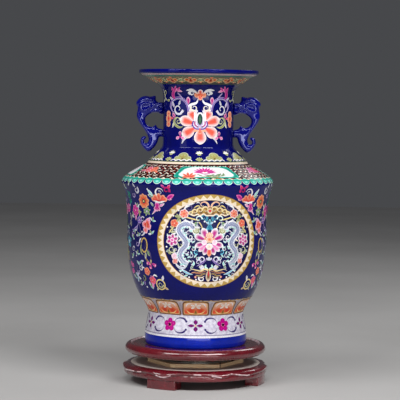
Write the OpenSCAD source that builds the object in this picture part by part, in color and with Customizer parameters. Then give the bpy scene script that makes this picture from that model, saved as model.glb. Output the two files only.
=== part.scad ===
// Two-handled porcelain vase on a revolving wooden stand.
// Millimetres. +Z is up, the origin is on the floor under the middle of the stand,
// the handles lie along X and the front of the vase faces -Y.
//
// The vase is thrown and pressed in sections that are luted together before glazing:
// foot, belly, shoulder, neck and two handles. The stand is a turned disc that revolves
// on a ball bearing above a board with three feet, and the vase lifts out of its seat.

/* [Vase radii] */
// Radius of the mouth
mouth_r = 79; // [77:0.5:81]
// Radius of the straight part of the neck
neck_r = 46.5; // [46:0.1:47]
// Radius where the neck is luted to the shoulder
collar_r = 48.2; // [47.6:0.1:49]
// Radius of the shoulder's edge, the widest place
shoulder_r = 100.5; // [99:0.5:103]
// Radius of the upright part of the belly
belly_r = 92; // [91:0.5:93]
// Radius of the waist above the foot
waist_r = 62.8; // [62:0.2:64]
// Radius of the spreading foot
foot_r = 67.5; // [67:0.1:67.8]
// Thickness of the wall
wall = 5.6; // [5:0.2:6.4]

/* [Vase heights above its own foot] */
// Height of the waist, where foot and belly are luted
waist_z = 41; // [38:1:44]
// Height of the shoulder's edge, where belly and shoulder are luted
shoulder_z = 214; // [210:1:218]
// Height where the neck is luted to the shoulder
collar_z = 260; // [258:1:262]
// Height of the whole vase
vase_h = 362.5; // [361:0.5:366]
// Depth of the hollow under the foot
foot_hollow = 7; // [5:0.5:9]
// Thickness of the vase's floor
floor_t = 7; // [6:0.5:8]

/* [Handles] */
// Thickness of a handle, front to back
handle_t = 14; // [12:0.5:16]

/* [Stand] */
// Height of the feet under the board
stand_foot_h = 12; // [10:0.5:15]
// Depth of a foot, along the board's radius
stand_foot_depth = 20; // [18:1:23]
// Width of a foot, along the board's edge
stand_foot_w = 42; // [34:1:45]
// Radius that the outer faces of the feet lie on
stand_foot_r = 93; // [90:0.5:94]
// Direction of the right foot, counted from +X
right_foot_turn = -15; // [-20:1:0]
// Direction of the back foot
back_foot_turn = 113; // [105:1:125]
// Direction of the front foot
front_foot_turn = 241; // [235:1:250]
// Radius of the base board
board_r = 96; // [95:0.5:98]
// Thickness of the base board
board_t = 13; // [12:0.5:15]
// Corner radius of the hexagonal plywood plate
ply_r = 64; // [62:0.5:66]
// Thickness of the plywood plate
ply_t = 4.5; // [3.5:0.5:5]
// Radius of the turntable
disc_r = 93.5; // [92:0.5:95]
// Thickness of the turntable at its flat
disc_t = 12.5; // [12:0.5:15]
// Radius of the seat that the vase's foot stands in
seat_r = 68.5; // [68.2:0.1:70]
// Depth of that seat
seat_depth = 1.5; // [1:0.5:3]

/* [Bearing] */
// Radius of the circle that the balls run on
race_r = 35; // [33:0.5:36]
// Radius of a ball
ball_r = 2; // [1.8:0.1:2.1]
// Number of balls
ball_count = 24; // [12:2:30]
// Radius of the two bearing plates
plate_r = 50; // [49:0.5:52]
// Height of the whole bearing
bearing_h = 8.5; // [8:0.1:9]
// Radius of the centre rivet
rivet_r = 4; // [3:0.5:5]

/* [Hidden] */
$fn = 96;

porcelain_blue = "#1a2a9c";
lacquer_red = "#5a1018";
raw_ply = "#b89468";
zinc = "#b4b8bc";
steel = "#d8dadc";
nylon = "#e8e4d8";

// Levels of the stand, from the floor up
board_z = stand_foot_h;
ply_z = board_z + board_t;
bearing_z = ply_z + ply_t;
disc_z = bearing_z + bearing_h;
seat_z = disc_z + disc_t - seat_depth;

// Heights of the neck's straight part and of the start of the mouth's flare
neck_low = collar_z + 10;
neck_high = vase_h - 39.5;
flare_r = mouth_r - 21;
flare_z = vase_h - 16.7;
lip_t = 5;
lip_round = 1.2;
// Where the shoulder turns from its edge to its slope, and from its slope to the collar
slope_low = [shoulder_r - 10.3, shoulder_z + 12.2];
slope_high = [shoulder_r - 33.3, shoulder_z + 25.5];
// Where the belly's taper turns from the waist
taper = [waist_r + 10.2, waist_z + 22];
belly_mid_z = 150;

// Bearing details
plate_t = 1.2;
race_half_w = 5;
race_gap = 1;
race_z = bearing_z + bearing_h / 2;
race_clearance = 0.05;
pin_clearance = 0.05;
cage_t = 0.6;
cage_half_w = 3.5;
cage_play = 0.1;
screw_ring_r = 45;
screw_r = 1.5;
screw_head_r = 3;
screw_head_h = 1.3;
screw_count = 4;
screw_depth = 8;
base_screw_grip = 8;
foot_screw_grip = 9;
foot_screw_ring_r = stand_foot_r - stand_foot_depth / 2;
// Hole in the plates and the board that a screwdriver reaches the upper screws through
access_r = 4.5;
access_turn = 45;
rivet_head_r = rivet_r + 2.5;
rivet_head_t = 1.2;
rivet_room_r = rivet_head_r + 2.5;
rivet_play = 0.1;
eps = 1;

// ---- curves ----

// Points of a cubic Bezier curve, without its last point
function bezier(a, b, c, d, n = 9) =
    [for (i = [0 : n - 1]) let (t = i / n, u = 1 - t)
        u ^ 3 * a + 3 * u ^ 2 * t * b + 3 * u * t ^ 2 * c + t ^ 3 * d];

// Points of an arc, ends included
function arc(centre, rx, ry, from, to, n = 12) =
    [for (i = [0 : n]) let (a = from + (to - from) * i / n) centre + [rx * cos(a), ry * sin(a)]];

// One point of a Catmull-Rom curve between b and c
function between(a, b, c, d, t) =
    (2 * b + (c - a) * t + (2 * a - 5 * b + 4 * c - d) * t ^ 2 + (3 * b - a - 3 * c + d) * t ^ 3) / 2;

// A Catmull-Rom curve through all the points
function smooth(p, n = 5) = concat(
    [for (i = [0 : len(p) - 2]) for (k = [0 : n - 1])
        between(p[max(i - 1, 0)], p[i], p[i + 1], p[min(i + 2, len(p) - 1)], k / n)],
    [p[len(p) - 1]]);

// ---- vase sections, in their own height above the vase's foot ----

module on_seat() { translate([0, 0, seat_z]) children(); }

module mouth_and_neck() {
    outside = concat(
        bezier([collar_r, collar_z], [collar_r - 1.2, collar_z + 1.5], [neck_r, neck_low - 4], [neck_r, neck_low]),
        bezier([neck_r, neck_high], [neck_r, neck_high + 16], [flare_r - 7, flare_z - 4.3], [flare_r, flare_z]),
        bezier([flare_r, flare_z], [flare_r + 6, flare_z + 4.7], [mouth_r - 6, vase_h - 7.1],
               [mouth_r - 2, vase_h - lip_t - 0.4]));
    lip = concat(
        arc([mouth_r - lip_round, vase_h - lip_t + lip_round], lip_round, lip_round, -60, 0, 4),
        arc([mouth_r - lip_round, vase_h - lip_round], lip_round, lip_round, 0, 90, 5));
    inside = concat(
        bezier([mouth_r - 3.5, vase_h - 0.6], [mouth_r - 11, vase_h - 4], [flare_r + 4, flare_z + 8],
               [flare_r - 2, flare_z + 4.2]),
        bezier([flare_r - 2, flare_z + 4.2], [flare_r - 9, flare_z], [neck_r - 4.5, neck_high + 18],
               [neck_r - 4.5, neck_high]),
        bezier([neck_r - 4.5, neck_low], [neck_r - 4.5, neck_low - 4], [neck_r - 3.5, collar_z + 3],
               [collar_r - 5, collar_z]),
        [[collar_r - 5, collar_z]]);
    color(porcelain_blue) on_seat() rotate_extrude() polygon(concat(outside, lip, inside));
}

module shoulder() {
    outside = concat(
        bezier([shoulder_r, shoulder_z], [shoulder_r, shoulder_z + 4], [shoulder_r - 3, shoulder_z + 7.5], slope_low),
        bezier(slope_low, slope_low + [-7.5, 4.7], slope_high + [7, -3.8], slope_high),
        bezier(slope_high, slope_high + [-2.8, 4], [collar_r + 6, collar_z - 5], [collar_r, collar_z]),
        [[collar_r, collar_z]]);
    slope_high_in = slope_high + [-3.6, -4];
    slope_low_in = slope_low + [-2.7, -4.8];
    inside = concat(
        bezier([collar_r - 5, collar_z], [collar_r + 1, collar_z - 5], slope_high_in + [-4.6, 5.2], slope_high_in),
        bezier(slope_high_in, slope_high_in + [7, -3.8], slope_low_in + [-7.5, 4.7], slope_low_in),
        bezier(slope_low_in, slope_low_in + [4.1, -3.4], [shoulder_r - wall, shoulder_z + 3],
               [shoulder_r - wall, shoulder_z]),
        [[shoulder_r - wall, shoulder_z]]);
    color(porcelain_blue) on_seat() rotate_extrude() polygon(concat(outside, inside));
}

module belly() {
    middle = [belly_r, belly_mid_z];
    thinner = [wall, 0];
    outside = concat(
        bezier([waist_r, waist_z], [waist_r, waist_z + 9], taper - [5, 7], taper),
        bezier(taper, taper + [11, 16], middle - [0, 45], middle),
        bezier(middle, middle + [0, 30], [belly_r + 1, shoulder_z - 17], [shoulder_r, shoulder_z]),
        [[shoulder_r, shoulder_z]]);
    taper_in = taper + [-5, 3];
    inside = concat(
        bezier([shoulder_r, shoulder_z] - thinner, [belly_r + 1, shoulder_z - 17] - thinner,
               middle + [0, 30] - thinner, middle - thinner),
        bezier(middle - thinner, middle - [0, 43] - thinner, taper_in + [11, 16], taper_in),
        bezier(taper_in, taper_in - [5, 7], [waist_r, waist_z + 12] - thinner, [waist_r, waist_z] - thinner),
        [[waist_r, waist_z] - thinner]);
    color(porcelain_blue) on_seat() rotate_extrude() polygon(concat(outside, inside));
}

module vase_foot() {
    heel = 4;
    ring_w = 7;
    outline = concat(
        [[0, foot_hollow], [foot_r - heel - ring_w - 2, foot_hollow], [foot_r - heel - ring_w, 0]],
        arc([foot_r - heel, 8], heel, 8, -90, 0, 8),
        bezier([foot_r, 9], [foot_r - 0.2, 23], [waist_r + 1.4, waist_z - 9], [waist_r, waist_z]),
        [[waist_r, waist_z]],
        bezier([waist_r - wall, waist_z], [waist_r - wall, waist_z - 16], [waist_r - 6, foot_hollow + floor_t],
               [waist_r - 20, foot_hollow + floor_t]),
        [[waist_r - 20, foot_hollow + floor_t], [0, foot_hollow + floor_t]]);
    color(porcelain_blue) on_seat() rotate_extrude() polygon(outline);
}

// ---- handles: a dragon biting the neck, whose body arches out and ends in a curled tail ----

// Outline, as distance from the axis and height above the vase's foot: ear, mane, back, tail and its curl
handle_outline = [
    [44, 321], [52, 319.5], [56, 322.5], [56.5, 328.5], [63, 327], [70, 328], [77, 325.5], [82.5, 318.5],
    [80, 312], [81.5, 303], [80, 296], [75.5, 288.5], [69.5, 280], [65.5, 272], [66.5, 266.5], [70, 265],
    [71.5, 268.5], [68, 272.5], [70.5, 275], [75, 273], [76.3, 267], [73.5, 260.5], [65.5, 253.7],
    [57.5, 260], [53, 267.5], [51, 274], [44, 272]
];
// Outline of the gap that a finger goes through, open towards the neck
finger_gap = [
    [40, 301], [50, 304], [57, 305.5], [64, 303.5], [69.5, 298], [69, 292], [64.5, 287.5], [59, 287.5],
    [56, 290.5], [53.5, 286], [48, 284.5], [40, 285]
];

module handle() {
    color(porcelain_blue) on_seat() difference() {
        rotate([90, 0, 0]) translate([0, 0, -handle_t / 2]) linear_extrude(handle_t) difference() {
            polygon(smooth(handle_outline));
            polygon(smooth(finger_gap));
        }
        translate([0, 0, neck_low]) cylinder(r = neck_r, h = neck_high - neck_low);
    }
}

module handle_right() { handle(); }

module handle_left() { mirror([1, 0, 0]) handle(); }

// ---- turntable ----

module screw_places(radius, count) {
    for (i = [0 : count - 1]) rotate([0, 0, i * 360 / count]) translate([radius, 0, 0]) children();
}

module foot_screw_places() {
    for (turn = [right_foot_turn, back_foot_turn, front_foot_turn])
        rotate([0, 0, turn]) translate([foot_screw_ring_r, 0, 0]) children();
}

module turntable_disc() {
    bead_r = 8;
    bead_top = 1;
    edge_x = disc_r - bead_r;
    flat_z = disc_z + disc_t;
    outline = concat(
        [[0, disc_z], [edge_x, disc_z]],
        arc([edge_x, disc_z + (disc_t + bead_top) / 2], bead_r, (disc_t + bead_top) / 2, -78, 90, 16),
        [[edge_x - 1.5, flat_z], [seat_r, flat_z], [seat_r, seat_z], [0, seat_z]]);
    color(lacquer_red) difference() {
        rotate_extrude() polygon(outline);
        translate([0, 0, disc_z - eps]) cylinder(r = rivet_room_r, h = rivet_head_t + 1.3 + eps);
        screw_places(screw_ring_r, screw_count)
            translate([0, 0, disc_z - eps]) cylinder(r = screw_r + race_clearance, h = screw_depth + 0.5 + eps);
    }
}

module turntable_screws() {
    head_z = disc_z - plate_t - screw_head_h;
    color(zinc) screw_places(screw_ring_r, screw_count) {
        translate([0, 0, head_z]) cylinder(r = screw_head_r, h = screw_head_h);
        translate([0, 0, head_z + screw_head_h]) cylinder(r = screw_r, h = plate_t + screw_depth);
    }
}

// ---- bearing ----

// One bearing plate, lying on z = 0 with its race upwards, with holes for its screws and one access hole
module race_plate(access_turn) {
    race_h = (bearing_h - race_gap) / 2;
    difference() {
        rotate_extrude() polygon([
            [rivet_r + pin_clearance, 0], [plate_r, 0], [plate_r, plate_t], [race_r + race_half_w, plate_t],
            [race_r + race_half_w, race_h], [race_r - race_half_w, race_h], [race_r - race_half_w, plate_t],
            [rivet_r + pin_clearance, plate_t]]);
        translate([0, 0, bearing_h / 2]) rotate_extrude()
            translate([race_r, 0]) circle(ball_r + race_clearance, $fn = 48);
        screw_places(screw_ring_r, screw_count)
            translate([0, 0, -eps]) cylinder(r = screw_r + race_clearance, h = plate_t + 2 * eps);
        rotate([0, 0, access_turn]) translate([screw_ring_r, 0, -eps])
            cylinder(r = access_r, h = plate_t + 2 * eps);
    }
}

module bearing_lower_plate() { color(zinc) translate([0, 0, bearing_z]) race_plate(access_turn); }

module bearing_upper_plate() {
    color(zinc) translate([0, 0, disc_z]) mirror([0, 0, 1]) race_plate(access_turn);
}

module at_balls() { screw_places(race_r, ball_count) translate([0, 0, race_z]) children(); }

module bearing_balls() { color(steel) at_balls() sphere(ball_r, $fn = 48); }

module ball_cage() {
    color(nylon) difference() {
        translate([0, 0, race_z - cage_t / 2]) rotate_extrude()
            translate([race_r - cage_half_w, 0]) square([2 * cage_half_w, cage_t]);
        at_balls() cylinder(r = ball_r + cage_play, h = 2 * cage_t, center = true);
    }
}

module centre_rivet() {
    color(zinc) {
        translate([0, 0, bearing_z - rivet_head_t]) cylinder(r = rivet_head_r, h = rivet_head_t);
        translate([0, 0, bearing_z]) cylinder(r = rivet_r, h = bearing_h + rivet_play);
        translate([0, 0, disc_z + rivet_play]) cylinder(r = rivet_head_r, h = rivet_head_t);
    }
}

// ---- base ----

module access_hole(z, h) {
    rotate([0, 0, access_turn]) translate([screw_ring_r, 0, z - eps]) cylinder(r = access_r, h = h + 2 * eps);
}

module base_board() {
    edge = 10.5;
    low_edge = 2;
    outline = concat(
        [[0, 0], [board_r - low_edge, 0]],
        arc([board_r - low_edge, low_edge], low_edge, low_edge, -90, 0, 4),
        arc([board_r - edge, board_t - 6], edge, 6, 0, 90, 10),
        [[0, board_t]]);
    color(lacquer_red) difference() {
        translate([0, 0, board_z]) rotate_extrude() polygon(outline);
        access_hole(board_z, board_t);
        screw_places(screw_ring_r, screw_count)
            translate([0, 0, ply_z - base_screw_grip]) cylinder(r = screw_r + race_clearance, h = base_screw_grip + eps);
        foot_screw_places()
            translate([0, 0, board_z - eps]) cylinder(r = screw_r + race_clearance, h = foot_screw_grip + eps);
    }
}

module plywood_plate() {
    color(raw_ply) difference() {
        translate([0, 0, ply_z]) cylinder(r = ply_r, h = ply_t, $fn = 6);
        translate([0, 0, ply_z - eps]) cylinder(r = rivet_room_r, h = ply_t + 2 * eps);
        screw_places(screw_ring_r, screw_count)
            translate([0, 0, ply_z - eps]) cylinder(r = screw_r + race_clearance, h = ply_t + 2 * eps);
        access_hole(ply_z, ply_t);
    }
}

module base_screws() {
    head_z = bearing_z + plate_t;
    grip = plate_t + ply_t + base_screw_grip - 0.5;
    color(zinc) screw_places(screw_ring_r, screw_count) {
        translate([0, 0, head_z]) cylinder(r = screw_head_r, h = screw_head_h);
        translate([0, 0, head_z - grip]) cylinder(r = screw_r, h = grip);
    }
}

// A block with its outer face on the feet's circle, a countersunk screw hole and rounded front corners
module stand_foot(turn) {
    round = 3;
    head_h = 2.4;
    color(lacquer_red) rotate([0, 0, turn]) difference() {
        intersection() {
            cylinder(r = stand_foot_r, h = stand_foot_h);
            translate([stand_foot_r - stand_foot_depth, -stand_foot_w / 2, 0])
                cube([stand_foot_depth, stand_foot_w, stand_foot_h]);
            translate([0, 0, -eps]) linear_extrude(stand_foot_h + 2 * eps) foot_plan(round);
        }
        translate([foot_screw_ring_r, 0, -eps]) cylinder(r = screw_r + race_clearance, h = stand_foot_h + 2 * eps);
        translate([foot_screw_ring_r, 0, -eps]) cylinder(r = screw_head_r + race_clearance, h = head_h + eps);
    }
}

// Plan of a foot: a rectangle whose two outer corners are cut off
module foot_plan(cut) {
    x0 = stand_foot_r - stand_foot_depth;
    x1 = stand_foot_r;
    y1 = stand_foot_w / 2;
    polygon([[x0, -y1], [x1 - cut, -y1], [x1, cut - y1], [x1, y1 - cut], [x1 - cut, y1], [x0, y1]]);
}

module stand_foot_right() { stand_foot(right_foot_turn); }

module stand_foot_back() { stand_foot(back_foot_turn); }

module stand_foot_front() { stand_foot(front_foot_turn); }

module foot_screws() {
    head_low = 0.8;
    head_h = 1.6;
    color(zinc) foot_screw_places() {
        translate([0, 0, head_low]) cylinder(r = screw_head_r, h = head_h);
        translate([0, 0, head_low + head_h])
            cylinder(r = screw_r, h = stand_foot_h + foot_screw_grip - head_low - head_h - 0.5);
    }
}

mouth_and_neck();
shoulder();
belly();
vase_foot();
handle_left();
handle_right();
turntable_disc();
bearing_upper_plate();
turntable_screws();
ball_cage();
bearing_balls();
base_board();
plywood_plate();
bearing_lower_plate();
centre_rivet();
base_screws();
stand_foot_right();
stand_foot_back();
stand_foot_front();
foot_screws();
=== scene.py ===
"""Looks for a two-handled porcelain vase on its revolving wooden stand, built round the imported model.

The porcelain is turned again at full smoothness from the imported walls. The overglaze decoration is
mesh too: thin raised enamel, drawn in millimetres and laid on the wall, with its colours in an attribute.
"""
import math

import bmesh
import bpy
import numpy as np
from mathutils import Matrix, Vector, noise
from mathutils.bvhtree import BVHTree
from mathutils.kdtree import KDTree


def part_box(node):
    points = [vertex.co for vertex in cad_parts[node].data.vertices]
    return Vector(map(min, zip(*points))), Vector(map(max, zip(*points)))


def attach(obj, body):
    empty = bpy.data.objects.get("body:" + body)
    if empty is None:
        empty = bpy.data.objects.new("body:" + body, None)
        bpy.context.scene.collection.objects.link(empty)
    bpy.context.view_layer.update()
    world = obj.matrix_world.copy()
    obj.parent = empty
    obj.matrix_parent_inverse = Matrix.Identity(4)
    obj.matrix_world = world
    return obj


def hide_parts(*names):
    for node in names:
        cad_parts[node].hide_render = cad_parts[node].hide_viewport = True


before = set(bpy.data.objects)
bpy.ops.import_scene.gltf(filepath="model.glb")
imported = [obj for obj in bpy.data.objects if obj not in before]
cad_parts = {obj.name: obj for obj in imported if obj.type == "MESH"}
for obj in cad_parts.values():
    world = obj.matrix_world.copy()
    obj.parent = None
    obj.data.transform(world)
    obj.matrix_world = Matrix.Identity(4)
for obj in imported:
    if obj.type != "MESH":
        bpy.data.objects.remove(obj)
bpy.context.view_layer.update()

MM = 0.001
VASE_NODES = ("vase_foot", "belly", "shoulder", "mouth_and_neck")
FOOT_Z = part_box("vase_foot")[0][2]
RIM_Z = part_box("mouth_and_neck")[1][2]
DISC_LOW, DISC_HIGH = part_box("turntable_disc")
BOARD_LOW, BOARD_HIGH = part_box("base_board")
BEAD = 8 * MM  # half-round edge of the turntable, as deep as this
SEAT_RADIUS = 68.5 * MM
BARE_RADIUS = 85.5 * MM  # the board's flat, unlacquered top
ROLL_SHARE = 0.42  # how much of the board's side is its rolled rim, above the ridge
SEAT_LIP = 2.5  # height above the vase's own foot of the line that its foot shows above its seat, in mm

# Painted zones: heights in mm above that line, and how far the pictures face to the right, in degrees
WHITE_LOW, WHITE_HIGH = 13.7, 43.2
LAPPET_Z, LAPPET_TOP = 52.8, 62.8
MEDALLION_Z, MEDALLION_TURN = 141, 10.2
LAPPET_EDGE_Z = 217.3
LATTICE_LOW, LATTICE_HIGH = 219, 238
LOTUS_Z, NECK_TURN = 288.5, 2.8
RIM_BAND_Z, RIM_TURN = 346.6, -9.6
WINDOW_TURN = 8


# ---- colours, as linear light ----

def rgb(red, green, blue):
    """A linear colour from the usual 0 to 255 numbers."""
    return tuple(((c / 255 + 0.055) / 1.055) ** 2.4 if c > 10 else c / 3294.6 for c in (red, green, blue))


COBALT = rgb(8, 12, 100)
HANDLE_BLUE = rgb(7, 12, 122)
FOOT_BLUE = rgb(8, 36, 168)
NAVY = rgb(12, 12, 76)
WHITE = rgb(246, 244, 248)
CREAM = rgb(244, 226, 200)
PALE = rgb(212, 208, 224)
CORAL = rgb(236, 92, 72)
PEACH = rgb(246, 176, 140)
ORANGE = rgb(232, 116, 60)
RUST = rgb(176, 70, 30)
MAGENTA = rgb(188, 16, 130)
PINK = rgb(240, 120, 190)
BLUSH = rgb(250, 200, 224)
RED = rgb(214, 50, 62)
PURPLE = rgb(104, 62, 160)
LILAC = rgb(186, 166, 216)
SILVER = rgb(190, 196, 214)
STEEL = rgb(116, 126, 168)
OLIVE = rgb(150, 156, 96)
PALE_OLIVE = rgb(204, 206, 160)
LEAF = rgb(86, 140, 92)
DARK_GREEN = rgb(10, 84, 66)
TURQUOISE = rgb(44, 184, 164)
PALE_TURQUOISE = rgb(150, 226, 216)
TEAL = rgb(24, 120, 148)
SKY = rgb(110, 196, 226)
GOLD = rgb(186, 146, 70)
PALE_GOLD = rgb(236, 212, 140)
BROWN = rgb(116, 72, 34)
BLACK = rgb(34, 16, 18)
GREY_VIOLET = rgb(96, 84, 130)


# ---- node materials ----

def material(name, roughness, **constants):
    """A new material with its Principled shader, whose constant values are set on its own sockets."""
    made = bpy.data.materials.new(name)
    made.use_nodes = True
    shader = made.node_tree.nodes["Principled BSDF"]
    shader.inputs["Roughness"].default_value = roughness
    for socket, value in constants.items():
        shader.inputs[socket.replace("_", " ")].default_value = value
    return made, made.node_tree, shader


def node(tree, kind, **values):
    made = tree.nodes.new(kind)
    for name, value in values.items():
        if name in made.inputs:
            made.inputs[name].default_value = value
        else:
            setattr(made, name, value)
    return made


def coordinates(tree, scale=(1, 1, 1)):
    """Object coordinates, stretched: every piece is at the origin, so they are metres in the row's frame."""
    place = node(tree, "ShaderNodeTexCoord")
    stretch = node(tree, "ShaderNodeMapping")
    stretch.inputs["Scale"].default_value = scale
    tree.links.new(place.outputs["Object"], stretch.inputs["Vector"])
    return stretch.outputs["Vector"]


def grain(tree, place, scale, detail=4, rough=0.5, distortion=0.0):
    made = node(tree, "ShaderNodeTexNoise", Scale=scale, Detail=detail, Roughness=rough,
        Distortion=distortion)
    tree.links.new(place, made.inputs["Vector"])
    return made.outputs["Fac"]


def ramp(tree, value, stops):
    """A colour ramp through (position, colour) stops."""
    made = node(tree, "ShaderNodeValToRGB")
    while len(made.color_ramp.elements) < len(stops):
        made.color_ramp.elements.new(0.5)
    for element, (position, colour) in zip(made.color_ramp.elements, stops):
        element.position = position
        element.color = (*colour, 1)
    tree.links.new(value, made.inputs["Fac"])
    return made.outputs["Color"]


def mix(tree, kind, factor, one, two):
    """Mixes two colours; factor is a number or a socket, and so is each colour."""
    made = node(tree, "ShaderNodeMix", data_type="RGBA", blend_type=kind)
    for socket, value in ((made.inputs[0], factor), (made.inputs[6], one), (made.inputs[7], two)):
        if isinstance(value, bpy.types.NodeSocket):
            tree.links.new(value, socket)
        else:
            socket.default_value = value if socket.type == "VALUE" else (*value, 1)
    return made.outputs[2]


def bump(tree, shader, height, strength, distance, before=None):
    made = node(tree, "ShaderNodeBump", Strength=strength, Distance=distance)
    tree.links.new(height, made.inputs["Height"])
    if before:
        tree.links.new(before, made.inputs["Normal"])
    tree.links.new(made.outputs["Normal"], shader.inputs["Normal"])
    return made.outputs["Normal"]


def painted_glaze(name, roughness, mottle, fine, depth, dark, shine, tint=(0.76, 0.78, 1, 1)):
    """Glaze or enamel over the colours painted on the mesh, a little uneven in shade and surface."""
    made, tree, shader = material(name, roughness, Specular_IOR_Level=shine, Specular_Tint=tint)
    paint = node(tree, "ShaderNodeAttribute", attribute_name="paint").outputs["Color"]
    place = coordinates(tree)
    cloudy = ramp(tree, grain(tree, place, mottle, 5), [(0.3, (dark,) * 3), (0.7, (1.1,) * 3)])
    shade = mix(tree, "MULTIPLY", 1.0, paint, cloudy)
    specks = ramp(tree, grain(tree, place, fine, 3), [(0.32, (0.86,) * 3), (0.6, (1.06,) * 3)])
    tree.links.new(mix(tree, "MULTIPLY", 1.0, shade, specks), shader.inputs["Base Color"])
    waves = bump(tree, shader, grain(tree, place, 70, 2), 0.25, depth)
    bump(tree, shader, grain(tree, place, 900, 2), 0.12, 0.0001, waves)
    return made


def bisque():
    """The bare, sanded ring that the vase stands on, with a few iron specks."""
    made, tree, shader = material("bisque_clay", 0.85)
    place = coordinates(tree)
    clay = ramp(tree, grain(tree, place, 220, 6), [(0.3, rgb(206, 198, 184)), (0.7, rgb(232, 226, 214))])
    spots = ramp(tree, grain(tree, place, 1400, 1), [(0.26, (0.25, 0.16, 0.1)), (0.32, (1, 1, 1))])
    tree.links.new(mix(tree, "MULTIPLY", 1.0, clay, spots), shader.inputs["Base Color"])
    bump(tree, shader, grain(tree, place, 1800, 3), 0.5, 0.0002)
    return made


def lacquer():
    """Dark red lacquer brushed over wood: grain shows through, the coat is wavy and thin on edges, and edges
    turn mauve as wear and as painted sheen.
    """
    made, tree, shader = material("red_lacquer", 0.2, Coat_Weight=1.0, Coat_Roughness=0.04)
    streaky = coordinates(tree, (6, 60, 60))
    grain_lines = grain(tree, streaky, 9, 8, 0.62, 1.2)
    wood = ramp(tree, grain_lines, [(0.3, rgb(86, 10, 22)), (0.52, rgb(104, 14, 28)),
        (0.75, rgb(126, 22, 36))])
    place = coordinates(tree)
    patches = ramp(tree, grain(tree, place, 30, 3), [(0.34, (0.74,) * 3), (0.66, (1.15,) * 3)])
    base = mix(tree, "MULTIPLY", 1.0, wood, patches)
    # Pointy edges turn pale mauve: partly rubbed lacquer, partly a painted sheen of reflected light.
    edge_pointiness = node(tree, "ShaderNodeNewGeometry").outputs["Pointiness"]
    worn_edges_and_sheen = ramp(tree, edge_pointiness, [(0.55, (0, 0, 0)), (0.66, (1, 1, 1))])
    tree.links.new(mix(tree, "MIX", worn_edges_and_sheen, base, rgb(178, 104, 112)), shader.inputs["Base Color"])
    rough = ramp(tree, grain(tree, place, 120, 3), [(0.3, (0.14,) * 3), (0.7, (0.34,) * 3)])
    tree.links.new(rough, shader.inputs["Roughness"])
    waves = bump(tree, shader, grain(tree, place, 80, 2), 0.4, 0.0012)
    bump(tree, shader, grain_lines, 0.15, 0.0004, waves)
    return made


def painted_highlight_lacquer():
    """Painted highlight: lacquer coloured pale along a crest, for the light that the crest catches."""
    made, tree, shader = material("painted_highlight_lacquer", 0.3, Coat_Weight=1.0, Coat_Roughness=0.08)
    highlight_streaks = grain(tree, coordinates(tree), 240, 4)
    tone = ramp(tree, highlight_streaks, [(0.3, rgb(150, 70, 80)), (0.48, rgb(224, 190, 194)),
        (0.66, rgb(246, 232, 234))])
    tree.links.new(tone, shader.inputs["Base Color"])
    bump(tree, shader, highlight_streaks, 0.3, 0.0004)
    return made


def plywood():
    """Pale plywood: long grain, glue lines between the plies on its edges, and one dark butt joint; its face
    tones are painted light, raised to lift the shade under the disc.
    """
    made, tree, shader = material("pale_plywood", 0.62)
    fibres = grain(tree, coordinates(tree, (8, 90, 90)), 10, 7, 0.6, 0.6)
    # Painted light: the face tones are raised to lift the shade under the disc.
    face = ramp(tree, fibres, [(0.3, rgb(240, 196, 146)), (0.7, rgb(255, 232, 190))])
    plies = node(tree, "ShaderNodeTexWave", wave_type="BANDS", bands_direction="Z", Scale=280.0,
        Distortion=0.6)
    plies.inputs["Detail Scale"].default_value = 2
    tree.links.new(coordinates(tree), plies.inputs["Vector"])
    glue = ramp(tree, plies.outputs["Fac"], [(0.1, (0.5, 0.4, 0.32)), (0.4, (1, 1, 1))])
    joint = node(tree, "ShaderNodeTexWave", wave_type="BANDS", bands_direction="X", Scale=3.27)
    joint.inputs["Phase Offset"].default_value = 4.16
    tree.links.new(coordinates(tree), joint.inputs["Vector"])
    clear = node(tree, "ShaderNodeMapRange")
    clear.inputs["From Min"].default_value = 0.0002
    clear.inputs["From Max"].default_value = 0.0007
    tree.links.new(joint.outputs["Fac"], clear.inputs["Value"])
    layered = mix(tree, "MULTIPLY", 0.8, face, glue)
    tree.links.new(mix(tree, "MIX", clear.outputs["Result"], rgb(70, 34, 26), layered),
        shader.inputs["Base Color"])
    bump(tree, shader, fibres, 0.35, 0.0003)
    return made


def bare_top():
    """The board's unlacquered top: dusty wood, painted paler than its own grey to lift the shade that the disc
    casts on it.
    """
    made, tree, shader = material("bare_board_top", 0.7)
    fibres = grain(tree, coordinates(tree, (10, 110, 110)), 8, 7, 0.6, 0.8)
    # Painted light: these tones are raised above the wood's own, to lift the disc's shade.
    wood = ramp(tree, fibres, [(0.3, rgb(214, 200, 190)), (0.7, rgb(248, 240, 232))])
    dust = ramp(tree, grain(tree, coordinates(tree), 60, 5), [(0.35, (0.82, 0.79, 0.77)),
        (0.7, (1.05,) * 3)])
    tree.links.new(mix(tree, "MULTIPLY", 1.0, wood, dust), shader.inputs["Base Color"])
    bump(tree, shader, fibres, 0.4, 0.0003)
    return made


def metal(name, dark, light, roughness):
    """Pressed or plated metal with fine scratches and a cloudy, uneven sheen."""
    made, tree, shader = material(name, roughness, Metallic=1.0)
    place = coordinates(tree)
    tone = ramp(tree, grain(tree, place, 90, 5), [(0.3, dark), (0.7, light)])
    tree.links.new(tone, shader.inputs["Base Color"])
    sheen = ramp(tree, grain(tree, place, 300, 4), [(0.3, (roughness * 0.7,) * 3),
        (0.7, (roughness * 1.5,) * 3)])
    tree.links.new(sheen, shader.inputs["Roughness"])
    bump(tree, shader, grain(tree, coordinates(tree, (40, 400, 400)), 8, 3), 0.1, 0.0001)
    return made


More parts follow.
